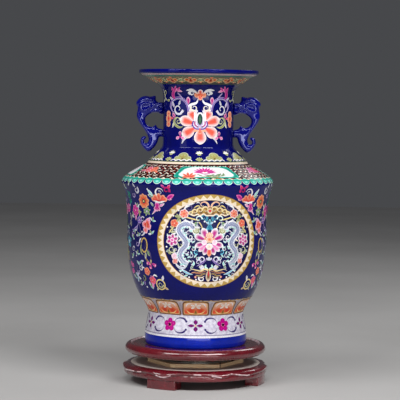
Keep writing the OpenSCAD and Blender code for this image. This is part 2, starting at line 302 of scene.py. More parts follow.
def nylon():
    """Off-white moulded plastic with a fine matt skin."""
    made, tree, shader = material("cage_plastic", 0.5, Subsurface_Weight=0.1)
    place = coordinates(tree)
    tone = ramp(tree, grain(tree, place, 160, 4), [(0.3, rgb(214, 208, 190)), (0.7, rgb(238, 234, 222))])
    tree.links.new(tone, shader.inputs["Base Color"])
    bump(tree, shader, grain(tree, place, 2500, 2), 0.3, 0.0001)
    return made


def pale_floor():
    made, tree, shader = material("pale_floor", 0.75)
    tone = ramp(tree, grain(tree, coordinates(tree), 3, 4), [(0.3, (0.5, 0.49, 0.48)),
        (0.7, (0.56, 0.55, 0.54))])
    tree.links.new(tone, shader.inputs["Base Color"])
    return made


GLAZE = painted_glaze("cobalt_glaze", 0.08, 24, 420, 0.0006, 0.72, 0.28)
HANDLE_GLAZE = painted_glaze("handle_glaze", 0.05, 24, 420, 0.0001, 0.8, 0.7, (0.62, 0.66, 1, 1))
ENAMEL = painted_glaze("raised_enamel", 0.24, 60, 900, 0.0003, 0.88, 0.25)
LACQUER = lacquer()
# Pale lacquer for painted highlight lines on the stand's crests.
HIGHLIGHT_LACQUER = painted_highlight_lacquer()
# Painted shade: the zinc is darker than bright plating, for the shade in the gap under the disc.
SHADED_ZINC = metal("zinc_plate", rgb(104, 100, 94), rgb(158, 154, 148), 0.4)
BALL_STEEL = metal("ball_steel", rgb(190, 192, 196), rgb(226, 228, 232), 0.12)


# ---- meshes ----

def piece(name, points, faces, body, slot, *materials):
    """A smooth-shaded mesh piece that rides on a body and takes the given materials. The slot argument is not
    used.
    """
    mesh = bpy.data.meshes.new(name)
    mesh.from_pydata([tuple(p) for p in points], [], faces)
    mesh.validate()
    mesh.polygons.foreach_set("use_smooth", [True] * len(mesh.polygons))
    made = bpy.data.objects.new(name, mesh)
    bpy.context.scene.collection.objects.link(made)
    for one in materials:
        mesh.materials.append(one)
    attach(made, body)
    return made


def paint(made, colours):
    """Stores one linear colour for each point of the mesh, for the glaze to read."""
    layer = made.data.color_attributes.new("paint", "FLOAT_COLOR", "POINT")
    flat = np.ones((len(colours), 4), np.float32)
    flat[:, :3] = colours
    layer.data.foreach_set("color", flat.ravel())


def ring_faces(rings):
    """Faces between neighbouring rings of point numbers; beside a pole, one number repeated, triangles."""
    faces = []
    for low, high in zip(rings, rings[1:]):
        for a, b, c, d in zip(low, low[1:] + low[:1], high[1:] + high[:1], high):
            distinct = tuple(dict.fromkeys((a, b, c, d)))
            if len(distinct) > 2:
                faces.append(distinct)
    return faces


def turned(outline, steps=240):
    """Points and faces of a closed outline of (radius, height) turned about Z; a radius of 0 is a pole."""
    angles = [math.tau * k / steps for k in range(steps)]
    rings, points = [], []
    for radius, height in outline:
        count = steps if radius > 1e-6 else 1
        rings.append([len(points) + k % count for k in range(steps)])
        points += [(radius * math.cos(a), radius * math.sin(a), height) for a in angles[:count]]
    return points, ring_faces(rings)


# ---- the vase's wall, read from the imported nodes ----

class Wall:
    """The outer wall as a curve: radius and outward normal at each height above the floor."""

    def __init__(self):
        trees = self.trees = [self.tree(name) for name in VASE_NODES]
        step = 0.5 * MM
        self.z = np.arange(FOOT_Z + 0.3 * MM, RIM_Z - 0.05 * MM, step)
        self.r = np.array([self.reach(trees, z, 0.2, -1) for z in self.z])
        self.inner_z = np.arange(self.level(trees, 0, RIM_Z, -1) + step, RIM_Z - 0.8 * MM, step)
        self.inner_r = np.array([self.reach(trees, z, 0.0, 1) for z in self.inner_z])
        weights = np.hanning(9)
        weights /= weights.sum()
        smooth = np.convolve(np.pad(self.r, 4, "edge"), weights, "valid")
        self.r[8:-12] = smooth[8:-12]
        self.s = np.concatenate([[0], np.cumsum(np.hypot(np.diff(self.z), np.diff(self.r)))])
        slope = np.gradient(self.r, self.s)
        rise = np.gradient(self.z, self.s)
        self.nr = rise / np.hypot(slope, rise)
        self.nz = -slope / np.hypot(slope, rise)

    @staticmethod
    def tree(name):
        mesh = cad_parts[name].data
        return BVHTree.FromPolygons([v.co for v in mesh.vertices], [p.vertices for p in mesh.polygons])

    @staticmethod
    def reach(trees, z, start, way):
        """The wall's radius where a level ray along X first meets it, from outside or from the axis."""
        hits = [tree.ray_cast(Vector((start, 0, z)), Vector((way, 0, 0)))[0] for tree in trees]
        found = [hit.x for hit in hits if hit]
        return (max(found) if way < 0 else min(found)) if found else 0.0

    @staticmethod
    def level(trees, radius, start, way):
        """Height of the first surface that an upright ray meets at this radius, from above or from below."""
        hits = [tree.ray_cast(Vector((radius, 0, start)), Vector((0, 0, way)))[0] for tree in trees]
        found = [hit.z for hit in hits if hit]
        return max(found) if way < 0 else min(found)

    def outline(self):
        """The whole section: out along the underside, up the outside, over the lip and down the inside."""
        below, above = FOOT_Z - MM, RIM_Z + MM
        under = [(r, self.level(self.trees, r, below, 1)) for r in np.arange(0, self.r[0], MM)]
        length = np.arange(0, self.s[-1], MM)
        outside = list(zip(np.interp(length, self.s, self.r), np.interp(length, self.s, self.z)))
        lip_r = np.linspace(self.r[-1], self.inner_r[-1], 8)[1:-1]
        lip = [(r, self.level(self.trees, r, above, -1)) for r in lip_r]
        inside = list(zip(self.inner_r[::-4], self.inner_z[::-4]))
        floor_r = np.arange(self.inner_r[0] - MM, 0, -2 * MM)
        floor = [(r, self.level(self.trees, r, FOOT_Z + 60 * MM, -1)) for r in floor_r]
        return under + outside + [(self.r[-1], self.z[-1])] + lip + inside + floor + [(0, floor[-1][1])]

    def at(self, azimuth, z, lift):
        """Points on the wall, as arrays: azimuth in radians from the front, to the right seen from there."""
        radius = np.interp(z, self.z, self.r) + lift * np.interp(z, self.z, self.nr)
        height = z + lift * np.interp(z, self.z, self.nz)
        azimuth, radius, height = np.broadcast_arrays(azimuth, radius, height)
        return np.stack([radius * np.sin(azimuth), -radius * np.cos(azimuth), height], -1)


WALL = Wall()


def above_foot(height):
    """Row height, in metres, of a height in mm above the line where the vase's foot shows."""
    return FOOT_Z + (SEAT_LIP + height) * MM


# ---- enamel drawing ----

def smooth_path(points, count):
    """Evenly spaced points on a Catmull-Rom curve through the given ones."""
    p = np.array(points, float)
    p = np.vstack([2 * p[0] - p[1], p, 2 * p[-1] - p[-2]])
    t = np.linspace(0, 1, 12, endpoint=False)[:, None]
    parts = []
    for a, b, c, d in zip(p, p[1:], p[2:], p[3:]):
        parts.append((2 * b + (c - a) * t + (2 * a - 5 * b + 4 * c - d) * t**2
                      + (3 * b - a - 3 * c + d) * t**3) / 2)
    fine = np.vstack(parts + [p[-2:-1]])
    along = np.concatenate([[0], np.cumsum(np.hypot(*np.diff(fine, axis=0).T))])
    at = np.linspace(0, along[-1], count)
    return np.stack([np.interp(at, along, fine[:, 0]), np.interp(at, along, fine[:, 1])], -1), along[-1]


class Enamel:
    """One piece of enamel: patches drawn in mm on the wall, each a grid of coloured points."""

    def __init__(self, name):
        self.name, self.points, self.faces, self.colours, self.count = name, [], [], [], 0
        self.go(0, 0)

    def go(self, azimuth, height, flip=1, turn=0.0, size=1.0, along=False):
        """Moves the pen's origin: degrees from the front, mm up from the foot line or along the wall."""
        self.azimuth, self.height, self.flip = math.radians(azimuth), above_foot(height), flip
        self.turn, self.size, self.along = math.radians(turn), size, along
        return self

    def patch(self, u, v, colours, layer=0, dome=0.1, closed=False):
        """Lays a grid of points on the wall. The middle stands dome mm higher than the two long edges."""
        rows, cols = u.shape
        c, s = math.cos(self.turn) * self.size, math.sin(self.turn) * self.size
        u, v = (u * c - v * s) * self.flip * MM, (u * s + v * c) * MM
        z = self.height + v
        if self.along:
            z = np.interp(np.interp(self.height, WALL.z, WALL.s) + v, WALL.s, WALL.z)
        azimuth = self.azimuth + u / np.interp(z, WALL.z, WALL.r)
        across = 1 - np.abs(np.linspace(-1, 1, cols)) ** 2 if cols > 2 else np.zeros(cols)
        lift = (0.08 + 0.05 * layer + 0.0015 * (self.count % 20)) + dome * across[None, :]
        self.count += 1
        start = len(self.points)
        self.points.extend(WALL.at(azimuth, z, lift * MM).reshape(-1, 3))
        self.colours.extend(np.broadcast_to(colours, (rows, cols, 3)).reshape(-1, 3))
        last = cols if closed else cols - 1
        for i in range(rows - 1):
            for k in range(last):
                a, b = start + i * cols + k, start + i * cols + (k + 1) % cols
                face = (a, b, b + cols, a + cols)
                self.faces.append(face[::-1] if self.flip > 0 else face)

    def stroke(self, points, width, colour, core=None, layer=1, shape="even", dome=0.1):
        """A brush stroke through the points, as wide along its length as its shape says."""
        length = smooth_path(points, 2)[1]
        path = smooth_path(points, max(4, min(60, int(3 + length * self.size / 1.3))))[0]
        way = np.gradient(path, axis=0)
        way /= np.maximum(np.hypot(*way.T), 1e-9)[:, None]
        t = np.linspace(0, 1, len(path))
        swell = {
            "even": np.ones_like(t),
            "leaf": np.sin(math.pi * np.clip(t, 0.02, 0.985)) ** 0.8,
            "tail": (1.06 - t) ** 0.7,
            "drop": np.clip(t * 1.02, 0.03, 1) ** 0.9 * np.clip(1.02 - t, 0, 0.2) ** 0.5 / 0.447,
            "petal": np.sin(math.pi * np.clip(t, 0.06, 0.99) ** 1.35) ** 0.62,
        }[shape]
        x = np.linspace(-1, 1, 7 if core else 3)
        offset = x[None, :] * swell[:, None] * width / 2
        u = path[:, :1] - way[:, 1:] * offset
        v = path[:, 1:] + way[:, :1] * offset
        if core is None:
            colours = np.array(colour)
        else:
            edge = np.maximum(np.abs(x)[None, :] ** 1.6, np.clip((t[:, None] - 0.6) / 0.36, 0, 1) ** 1.2)
            edge = np.clip(edge * 1.5 - 0.22, 0, 1)[..., None]
            colours = np.array(core) * (1 - edge) + np.array(colour) * edge
        self.patch(u, v, colours, layer, dome)

    def disc(self, u, v, radius, colour, core=None, layer=1, lobes=0, depth=0.0, wide=1.0, turn=0.0,
            dome=0.12):
        """A round spot, or a lobed one, that shades from core at its middle to colour at its edge."""
        rings = max(3, int(radius * self.size / 1.4) + 2)
        spokes = max(10, int(radius * self.size * 4), lobes * 6)
        angle = np.linspace(0, math.tau, spokes, endpoint=False)
        notch = 0.5 - 0.5 * np.cos(lobes * (angle - math.radians(turn)))
        reach = radius * (1 - depth * notch)
        rho = np.linspace(0.04, 1, rings)[:, None]
        x, y = rho * reach * np.sin(angle) * wide, rho * reach * np.cos(angle)
        shade = np.broadcast_to(rho[..., None] ** 1.5, (rings, spokes, 1))
        colours = np.array(core or colour) * (1 - shade) + np.array(colour) * shade
        self.patch(u + x, v + y, colours, layer + dome * 0.3, 0.0, closed=True)

    def ring(self, u, v, radius, width, colour, layer=1, high=None, start=0, sweep=360):
        """A circle or an ellipse of one width, or an arc of it, in degrees from the top, to the right."""
        high = high or radius
        count = max(12, int(math.radians(abs(sweep)) * max(radius, high) * self.size / 1.5))
        angle = np.radians(start + np.linspace(0, sweep, count))[:, None]
        x = np.linspace(-1, 1, 3)[None, :] * width / 2
        self.patch(u + (radius + x) * np.sin(angle), v + (high + x) * np.cos(angle), np.array(colour), layer)

    def curl(self, u, v, radius, width, colour, start=0, sweep=400, layer=1, core=None, end=0.22):
        """A stroke that coils in to (u, v) from a point at angle start, clockwise for a positive sweep."""
        t = np.linspace(0, 1, 9)
        angle = np.radians(start + t * sweep)
        shrink = radius * (1 - (1 - end) * t)
        points = list(zip(u + shrink * np.sin(angle), v + shrink * np.cos(angle)))
        self.stroke(points, width, colour, core, layer, "tail")

    def petal(self, u, v, angle, length, width, edge, core, layer=1, near=0.12, shape="petal"):
        """A petal from (u, v) outwards, at an angle in degrees from the top, to the right."""
        a = math.radians(angle)
        start = (u + math.sin(a) * length * near, v + math.cos(a) * length * near)
        self.stroke([start, (u + math.sin(a) * length, v + math.cos(a) * length)], width, edge, core, layer,
            shape)

    def fan(self, angles, u, v, *kind):
        """The same kind of petal from (u, v), once at each of the angles."""
        for angle in angles:
            self.petal(u, v, angle, *kind)

    def leaf(self, u, v, angle, length, width, edge, core, layer):
        """A petal that starts at (u, v) itself and is thin at both ends."""
        self.petal(u, v, angle, length, width, edge, core, layer, 0, "leaf")

    def leaves(self, *several):
        for one in several:
            self.leaf(*one)

    def blade(self, points, width, colour, layer, core=None):
        """A brush stroke that is thin at both ends."""
        self.stroke(points, width, colour, core, layer, "leaf")

    def blades(self, *several):
        for one in several:
            self.blade(*one)

    def flower(self, u, v, radius, petals, edge, core, heart, layer=1, turn=0, fat=1.0, middle=0.3):
        """A round flower of even petals with a heart of its own colour."""
        for k in range(petals):
            width = fat * math.tau * radius / petals * 0.82
            self.petal(u, v, turn + 360 * k / petals, radius, width, edge, core, layer)
        self.disc(u, v, radius * middle, heart, CREAM, layer + 1)

    def band(self, low, high, colour, colour_high=None, layer=-0.5, steps=240):
        """A field of colour right round the vase between two heights."""
        z = np.linspace(above_foot(low), above_foot(high), max(3, int((high - low) / 1.0) + 2))
        azimuth = np.linspace(0, math.tau, steps, endpoint=False)
        points = WALL.at(azimuth[None, :], z[:, None], (0.08 + 0.05 * layer) * MM)
        t = np.linspace(0, 1, len(z))[:, None, None]
        colours = np.array(colour) * (1 - t) + np.array(colour_high or colour) * t
        start = len(self.points)
        self.points.extend(points.reshape(-1, 3))
        self.colours.extend(np.broadcast_to(colours, (len(z), steps, 3)).reshape(-1, 3))
        for i in range(len(z) - 1):
            for k in range(steps):
                a, b = start + i * steps + k, start + i * steps + (k + 1) % steps
                self.faces.append((a, b, b + steps, a + steps))

    def finish(self):
        made = piece(self.name, self.points, self.faces, "vase", "enamel", ENAMEL)
        paint(made, np.array(self.colours))
        return made


# ---- porcelain ----

def vase_wall():
    """The glazed shell: cobalt outside, a brighter foot, a white inside and a bare ring to stand on."""
    points, faces = turned(WALL.outline(), 192)
    made = piece("vase_wall", points, faces, "vase", "cobalt_glaze", GLAZE, bisque())
    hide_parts(*VASE_NODES)
    foot_band = above_foot(WHITE_LOW)
    colours = []
    for x, y, z in points:
        inner = math.hypot(x, y) < np.interp(z, WALL.z, WALL.r) - 1.5 * MM
        if inner and z < RIM_Z - 7 * MM:
            colours.append(WHITE)
        else:
            colours.append(FOOT_BLUE if z < foot_band else COBALT)
    paint(made, np.array(colours))
    for face in made.data.polygons:
        if face.center.z < FOOT_Z + 1.2 * MM:
            face.material_index = 1
    return made


def tooth_ring(pen, inner, outer, teeth, colour, layer):
    """A ring of triangles: its inner edge is an ellipse, its outer one a zigzag out to a larger ellipse."""
    angle = np.linspace(0, math.tau, teeth * 6, endpoint=False)[:, None]
    zigzag = np.abs((np.arange(teeth * 6) % 6) / 3 - 1)[:, None]
    t = np.linspace(0, 1, 5)[None, :] * zigzag
    ru, rv = inner[0] + (outer[0] - inner[0]) * t, inner[1] + (outer[1] - inner[1]) * t
    u, v = ru * np.sin(angle), rv * np.cos(angle)
    pen.patch(u.T, v.T, np.array(colour), layer, 0.0, closed=True)


def oval_ring(pen, inner, outer, colour, layer):
    """A flat ring between two ellipses, each given as half its width and half its height."""
    angle = np.linspace(0, math.tau, 200, endpoint=False)[None, :]
    t = np.linspace(0, 1, 4)[:, None]
    u = (inner[0] + (outer[0] - inner[0]) * t) * np.sin(angle)
    v = (inner[1] + (outer[1] - inner[1]) * t) * np.cos(angle)
    pen.patch(u, v, np.array(colour), layer, 0.0, closed=True)


def medallion_ring(pen):
    pen.disc(0, 0, 52.4, NAVY, layer=0, wide=59.9 / 52.4)
    oval_ring(pen, (59.8, 52.2), (70, 60.4), BROWN, 1)
    oval_ring(pen, (60.3, 52.6), (69.4, 59.9), rgb(196, 160, 84), 2)
    tooth_ring(pen, (62.4, 54.4), (68.7, 59.2), 46, rgb(246, 230, 198), 3)
    oval_ring(pen, (60.7, 52.9), (63.0, 54.8), rgb(250, 232, 212), 4)


def medallion_crown(pen):
    """The gilt cloud at the top, left half: a row of scrolls over a pale scalloped line."""
    for u, v, size in ((0, 38.5, 6), (-8, 39, 5.8), (-15, 37.5, 5), (-21, 36, 3.6)):
        pen.disc(u, v, size, BROWN, GOLD, layer=1, wide=1.1)
    for u, v, size, start in ((-5.5, 40.5, 4.6, 250), (-12.5, 39.5, 4.2, 240), (-19, 37.8, 3.8, 230),
            (-24, 36, 2.6, 220)):
        pen.curl(u, v, size, 2.3, CREAM, start, 400, 3, PALE_GOLD)
        pen.blade([(u - 1, v - 3), (u + 2, v - 2), (u + 4, v + 1)], 1.1, BLACK, 3)
    pen.stroke([(0, 33.2), (-4.5, 33), (-8, 35), (-12.5, 33), (-16, 34.6), (-20, 32.8), (-25, 34.5)], 1.7,
        CREAM, layer=5)
    pen.disc(0, 38.8, 3.4, CREAM, GOLD, layer=4)
    pen.disc(0, 39, 1.7, RED, layer=6)
    pen.stroke([(-1.5, 43.5), (-3, 48), (-7.5, 50.5), (-12, 48.5), (-11, 45.2), (-8, 45.5)], 2.5, CREAM,
        PEACH, 3, "tail")
    pen.blades(
        ([(-12, 43), (-15, 45.5), (-18.5, 44), (-21, 42)], 1.5, PALE_GOLD, 3),
        ([(-13, 48.5), (-15.5, 50), (-18, 48.5)], 1.3, WHITE, 3))


def medallion_vines(pen):
    """Hooks, blossoms, leaves and stems of the left half, from the top down."""
    pen.blade([(-19.5, 49), (-25, 47), (-31, 43.5), (-33.5, 38.5)], 3, WHITE, 2)
    pen.curl(-26.5, 42.3, 4.2, 1.5, GREY_VIOLET, 330, 430, 2)
    pen.flower(-33, 35, 6.2, 6, WHITE, CORAL, PEACH, 3, 10, 1.15)
    pen.disc(-33, 35, 3.4, PEACH, CORAL, layer=5, lobes=5, depth=0.3, wide=1.3)
    pen.stroke([(-37, 30.5), (-30, 30.5), (-22, 28.5), (-14, 27)], 1.7, PALE_GOLD, layer=2)
    pen.fan((-60, -20, 25, 70, 140, 200), -40.5, 29.5, 5.6, 2.2, PALE_OLIVE, OLIVE, 2, 0)
    pen.flower(-45.5, 22.5, 5.2, 5, PEACH, CORAL, CREAM, 3, 15, 1.1)
    pen.curl(-51, 13.5, 4.6, 1.9, PALE_OLIVE, 0, 300, 2)
    pen.leaf(-49.5, 10, 75, 7.5, 3, WHITE, OLIVE, 2)
    pen.stroke([(-46, 18), (-49, 15), (-52.5, 10)], 1.4, PALE_GOLD, layer=2)
    pen.curl(-7.6, 30.2, 4.8, 2.8, SKY, 150, -430, 3, TEAL)
    pen.stroke([(0, 23), (-1, 20), (-2.6, 17), (-3.6, 14.5)], 2.4, SKY, TEAL, 2)
    pen.stroke([(-0.6, 22), (-0.8, 15)], 2, TEAL, layer=3)
    pen.petal(0, 21, 0, 7.5, 3.6, PALE_TURQUOISE, TEAL, 4, 0)
    pen.leaf(0, 22, 300, 5.5, 2.6, WHITE, SKY, 4)
    pen.disc(-6.5, 25.4, 1.2, WHITE, layer=3)
    pen.disc(-4.2, 28, 0.9, WHITE, layer=3)
    pen.curl(-14, 28.4, 4.6, 2.1, PALE_TURQUOISE, 90, -380, 3, WHITE)
    pen.leaves((-16.5, 24, 200, 6.5, 3.4, WHITE, LEAF, 3), (-15.5, 24, 250, 5, 2.6, PALE_OLIVE, LEAF, 3))
    pen.stroke([(-13.5, 24.5), (-10.5, 20), (-9, 15)], 1.3, PALE_GOLD, layer=2)
    pen.disc(-17.5, 14, 5.6, WHITE, PALE_OLIVE, layer=1, lobes=7, depth=0.12)
    pen.curl(-17.5, 14, 4.4, 1.7, OLIVE, 60, 520, 3)
    pen.blade([(-13, 10), (-17, 8.6), (-21.5, 9.6)], 1.4, WHITE, 2)


def scaly_creature(pen):
    """A plain silver scroll-bodied creature of the left half, in the shape of an S."""
    spine = [(-20, 16.5), (-25, 21), (-32, 21.6), (-38.2, 18), (-39, 12), (-34.5, 6), (-30, 0.5),
             (-30, -5.5), (-35.5, -12), (-37.5, -19.5), (-33, -26.5), (-27, -30)]
    pen.stroke(spine, 8.2, WHITE, layer=2)
    pen.stroke(spine, 5.6, SILVER, rgb(150, 158, 192), 3)
    path = smooth_path(spine, 40)[0]
    way = np.gradient(path, axis=0)
    way /= np.hypot(*way.T)[:, None]
    pen.stroke([(u - dv, v + du) for (u, v), (du, dv) in zip(path[1:-1:3], way[1:-1:3])], 0.7, STEEL,
        layer=5)
    for k in range(1, 39):
        (u, v), (du, dv) = path[k], way[k]
        lean = math.degrees(math.atan2(du, dv))
        pen.petal(u + 1.2 * dv, v - 1.2 * du, lean + 70, 1.6, 0.6, STEEL, None, 5, -0.6, "leaf")
        pen.leaf(u - 0.6 * dv, v + 0.6 * du, lean + 90, 1.5, 0.5, WHITE, None, 6)
        if k % 3 == 1:
            pen.petal(u, v, lean + 118, 7.2, 2.6, WHITE, SILVER, 1, 0.4, "leaf")
            pen.petal(u, v, lean - 118, 7.2, 2.4, WHITE, PALE_TURQUOISE, 1, 0.4, "leaf")
    pen.blades(
        ([(-27, -30), (-32, -34.5), (-38.5, -33.5), (-43.5, -28)], 3.4, WHITE, 3, SILVER),
        ([(-28, -33), (-30.5, -29.5), (-37.5, -30)], 2, PALE_TURQUOISE, 3))
    pen.disc(-22, 17.6, 4.0, WHITE, SILVER, layer=4, lobes=5, depth=0.2, wide=1.2)
    pen.disc(-20.6, 18.4, 0.9, BLACK, layer=6)
    pen.blades(
        ([(-17.5, 16), (-14.5, 18.4), (-11.5, 17.4)], 1.3, WHITE, 4),
        ([(-24, 21), (-28, 25.5), (-34, 26.5)], 1.6, WHITE, 4),
        ([(-36, 21.5), (-38.5, 25.5), (-42, 25)], 1.6, PALE_OLIVE, 4))
    for u, v, start, sweep, colour in (
            (-32.5, 13.4, 120, 380, SILVER), (-24.5, 5.5, 220, -380, WHITE), (-43.5, 6.5, 0, -330, WHITE),
            (-29.5, -13.5, 90, 400, PALE), (-23, -18, 240, -400, SILVER), (-44.5, -22, 20, 320, WHITE),
            (-21.5, -27, 200, -380, PALE), (-16.5, -13.5, 150, 380, SKY), (-27, 10.5, 60, -340, PALE),
            (-20.5, -9.5, 30, 340, WHITE), (-43, -12, 200, 340, PALE), (-20, 1, 200, 360, PALE),
            (-16, 21, 30, -360, PALE), (-47, 38, 60, 330, PALE_OLIVE), (-8, -33.5, 200, 340, PALE),
            (-37, -5, 300, -340, PALE_OLIVE), (-14.5, -21.5, 60, 360, WHITE), (-33, -43.5, 160, 330, PALE)):
        pen.curl(u, v, 3.3, 1.6, colour, start, sweep, 3)
    for u, v, angle in (
            (-22.5, -2, 60), (-22, -7, 110), (-30.5, -17.5, 90), (-28, -21.5, 60), (-34, 9.5, 70),
            (-19.5, 6, 20), (-25, 0.5, 300), (-16, -17, 220), (-27, -24, 120), (-13, -19.5, 190),
            (-23.5, 11.5, 330), (-27, -9.5, 40), (-24, -12.5, 150), (-5, -33, 120), (-3.5, -29.5, 200),
            (-36, 28, 60), (-54, 4, 350), (-41, -20, 30), (-38, -37.5, 100), (-30, 34.5, 240)):
        pen.leaf(u, v, angle, 5, 2.2, WHITE, PALE_TURQUOISE, 3)


def medallion_lower(pen):
    """The lower left half: blossoms at the edge, scrolls under the lotus, and the gilt bat."""
    for k in range(6):
        pen.petal(-48, 1, k * 60 + 8, 8.6, 6.2, WHITE, MAGENTA, 3)
    pen.disc(-48, 1, 4.2, MAGENTA, PINK, layer=5, lobes=6, depth=0.15)
    pen.ring(-48, 1, 2.4, 0.9, WHITE, 6)
    pen.stroke([(-40, 0), (-37, 1), (-35, 3)], 1.4, CREAM, layer=3)
    pen.curl(-48.5, -11, 5, 1.9, PALE_OLIVE, 90, 470, 3)
    pen.leaves((-52, -12, 240, 5, 2.6, WHITE, LEAF, 3), (-46, -14, 150, 5, 2.6, WHITE, OLIVE, 3))
    pen.flower(-44.8, -19.5, 4.2, 5, WHITE, BLUSH, PEACH, 4)
    pen.leaf(-49, -17.5, 300, 5.5, 2.2, PALE_OLIVE, OLIVE, 3)
    pen.flower(-43.5, -26, 3.8, 4, WHITE, CORAL, CORAL, 5, 45)
    pen.curl(-9, -23.5, 4.2, 2, LILAC, 290, 400, 3, WHITE)
    pen.curl(-13.5, -27, 3.6, 1.9, WHITE, 100, -380, 3, LILAC)
    pen.blade([(-2, -21), (-6, -25.5), (-10.5, -29), (-15.5, -32)], 2.2, LILAC, 3, PURPLE)
    pen.fan((-48, 0, 48), 0, -24.5, 5, 2.6, WHITE, SILVER, 4, 0)
    pen.petal(-9, -30, 165, 6.5, 4, WHITE, PALE, 4, 0)
    pen.leaves(
        (-9, -31, 235, 4.5, 2.4, WHITE, PALE_OLIVE, 4), (-19, -26, 190, 6, 3.2, WHITE, PALE_TURQUOISE, 4),
        (-20, -31, 215, 5.5, 2.8, WHITE, LEAF, 4))
    pen.stroke([(0, -37), (-5, -35.6), (-10, -38), (-16, -37), (-21, -36), (-24.5, -38)], 2.6, CREAM,
        PALE_GOLD, 5, "tail")
    pen.blades(
        ([(-2, -39.6), (-7, -38.8), (-12, -41), (-18, -40), (-23, -41.5)], 2.2, PEACH, 4, BROWN),
        ([(-2, -42), (-7, -42), (-11, -44.6), (-16.5, -43.6)], 2, PALE_GOLD, 4, BROWN),
        ([(-5, -44.5), (-8, -46.5), (-13, -47)], 1.3, CREAM, 4))
    pen.stroke([(0, -35.5), (0, -52)], 6.6, CREAM, BROWN, 5, "petal")
    pen.blade([(0, -38), (0, -45)], 2.2, RED, 7)
    pen.curl(-8.5, -48, 4.0, 2.2, WHITE, 300, -380, 3)
    pen.disc(-16.5, -46, 1.5, CORAL, CREAM, layer=5)
    pen.blade([(-20, -43), (-26, -41.5), (-31.5, -38.5), (-35.5, -35)], 2.8, WHITE, 3, SKY)
    pen.leaf(-26, -43.5, 250, 6, 2.4, WHITE, PALE_TURQUOISE, 3)
    for u, v in ((-47, 32), (-55, 17.5), (-36, -39), (-24.5, -46.5), (-55.8, -8), (-40, 39), (-15.5, -49.5)):
        pen.disc(u, v, 1.15, WHITE, layer=3)


def medallion_lotus(pen):
    """The lotus in the middle, both halves."""
    for side in (-1, 1):
        for tip, fat, core in (((19.5, 7.5), 8.4, MAGENTA), ((18.5, -6.5), 7.6, MAGENTA),
                ((13.5, -13), 6.6, PINK)):
            start = (side * tip[0] * 0.22, tip[1] * 0.22)
            pen.stroke([start, (side * tip[0], tip[1])], fat, WHITE, core, 3, "petal")
        pen.stroke([(side * 3, 2), (side * 9, 17)], 9.4, WHITE, MAGENTA, 4, "petal")
        pen.stroke([(side * 2, -4), (side * 7, -17.5)], 7.4, WHITE, MAGENTA, 4, "petal")
        pen.blade([(side * 5, -8), (side * 10, -8.5), (side * 14, -10)], 2.2, BLUSH, 6, PINK)
        pen.disc(side * 6.8, -1.2, 3.6, WHITE, BLUSH, layer=6)
        pen.blade([(side * 6, 1.5), (side * 10.5, 4), (side * 14, 4.2)], 3, MAGENTA, 5)
    pen.stroke([(0, -8), (0, -19.5)], 6, PEACH, CORAL, 5, "petal")
    pen.disc(0, 4.6, 7.2, PEACH, CORAL, layer=6, lobes=7, depth=0.16)
    pen.disc(0, 2.6, 4.6, CREAM, ORANGE, layer=7, lobes=5, depth=0.2)
    pen.fan((-38, 0, 38), 0, 3.5, 7, 3.6, CREAM, PEACH, 8, 0.15)
    pen.disc(0, -6.6, 4.3, WHITE, CREAM, layer=8)


def medallion(azimuth, name):
    """A round picture of the belly, in its toothed gold frame."""
    pen = Enamel(name)
    pen.go(azimuth, MEDALLION_Z)
    medallion_ring(pen)
    for flip in (1, -1):
        pen.go(azimuth, MEDALLION_Z, flip)
        medallion_crown(pen)
        medallion_vines(pen)
        scaly_creature(pen)
        medallion_lower(pen)
    pen.go(azimuth, MEDALLION_Z)
    medallion_lotus(pen)
    pen.finish()


def spray_top(at):
    """The upper blossoms beside a medallion. at(d, z) returns the pen, d degrees off the medallion's axis."""
    pen = at(30, 205.5)
    pen.curl(0, 0, 4.6, 2.8, RED, 120, -400, 2, MAGENTA)
    pen.leaves((2, 2.5, 40, 6, 3.6, PINK, RED, 2), (-2, 3.5, 300, 6, 3.2, PINK, MAGENTA, 2))
    pen = at(36, 199)
    pen.stroke([(-5.5, -1), (-6.5, 4), (-3, 8), (2.5, 8), (5, 4.5)], 2.6, WHITE, layer=2, shape="tail")
    pen.curl(0, 3, 2.6, 1.5, SILVER, 320, 330, 2)
    pen = at(37.5, 194)
    for u, angle in ((-7, 285), (-4, 315), (0, 0), (4, 45), (7, 75)):
        pen.petal(u * 0.4, -2, angle, 9.5, 6.2, PEACH, CORAL, 3, 0)
    pen.blades(
        ([(-9, -2.5), (0, -4.5), (9, -2.5)], 2.6, WHITE, 4), ([(-6, -1), (0, -2.6), (6, -1)], 1.8, RED, 5))
    pen = at(29, 196)
    pen.leaves((-3, -1.5, 62, 12, 5.4, PINK, MAGENTA, 3), (-3, -1, 100, 7, 3.4, BLUSH, MAGENTA, 3))
    pen = at(45, 200)
    pen.leaves((4, -3, 318, 12, 4.6, WHITE, PALE_TURQUOISE, 3), (3, -4, 290, 8, 3.4, WHITE, LEAF, 3))
    at(36, 191).disc(0, 0, 1.3, WHITE, layer=3)
    pen = at(40, 183)
    pen.stroke([(-1, 9), (-2, 3)], 2.2, WHITE, layer=2)
    pen.petal(0, 1, 0, 5, 7, PINK, MAGENTA, 4, -0.5)
    pen.fan((150, 185, 220), 0, 2, 7.5, 4.6, BLUSH, MAGENTA, 4, 0)
    pen.stroke([(-1, 0), (-4, -5), (-8.5, -9.5)], 3.4, WHITE, PINK, 3, "tail")
    pen.leaves((3, 1, 62, 9, 3.4, WHITE, PINK, 3), (-6, 1, 320, 6.5, 3, WHITE, LEAF, 3))


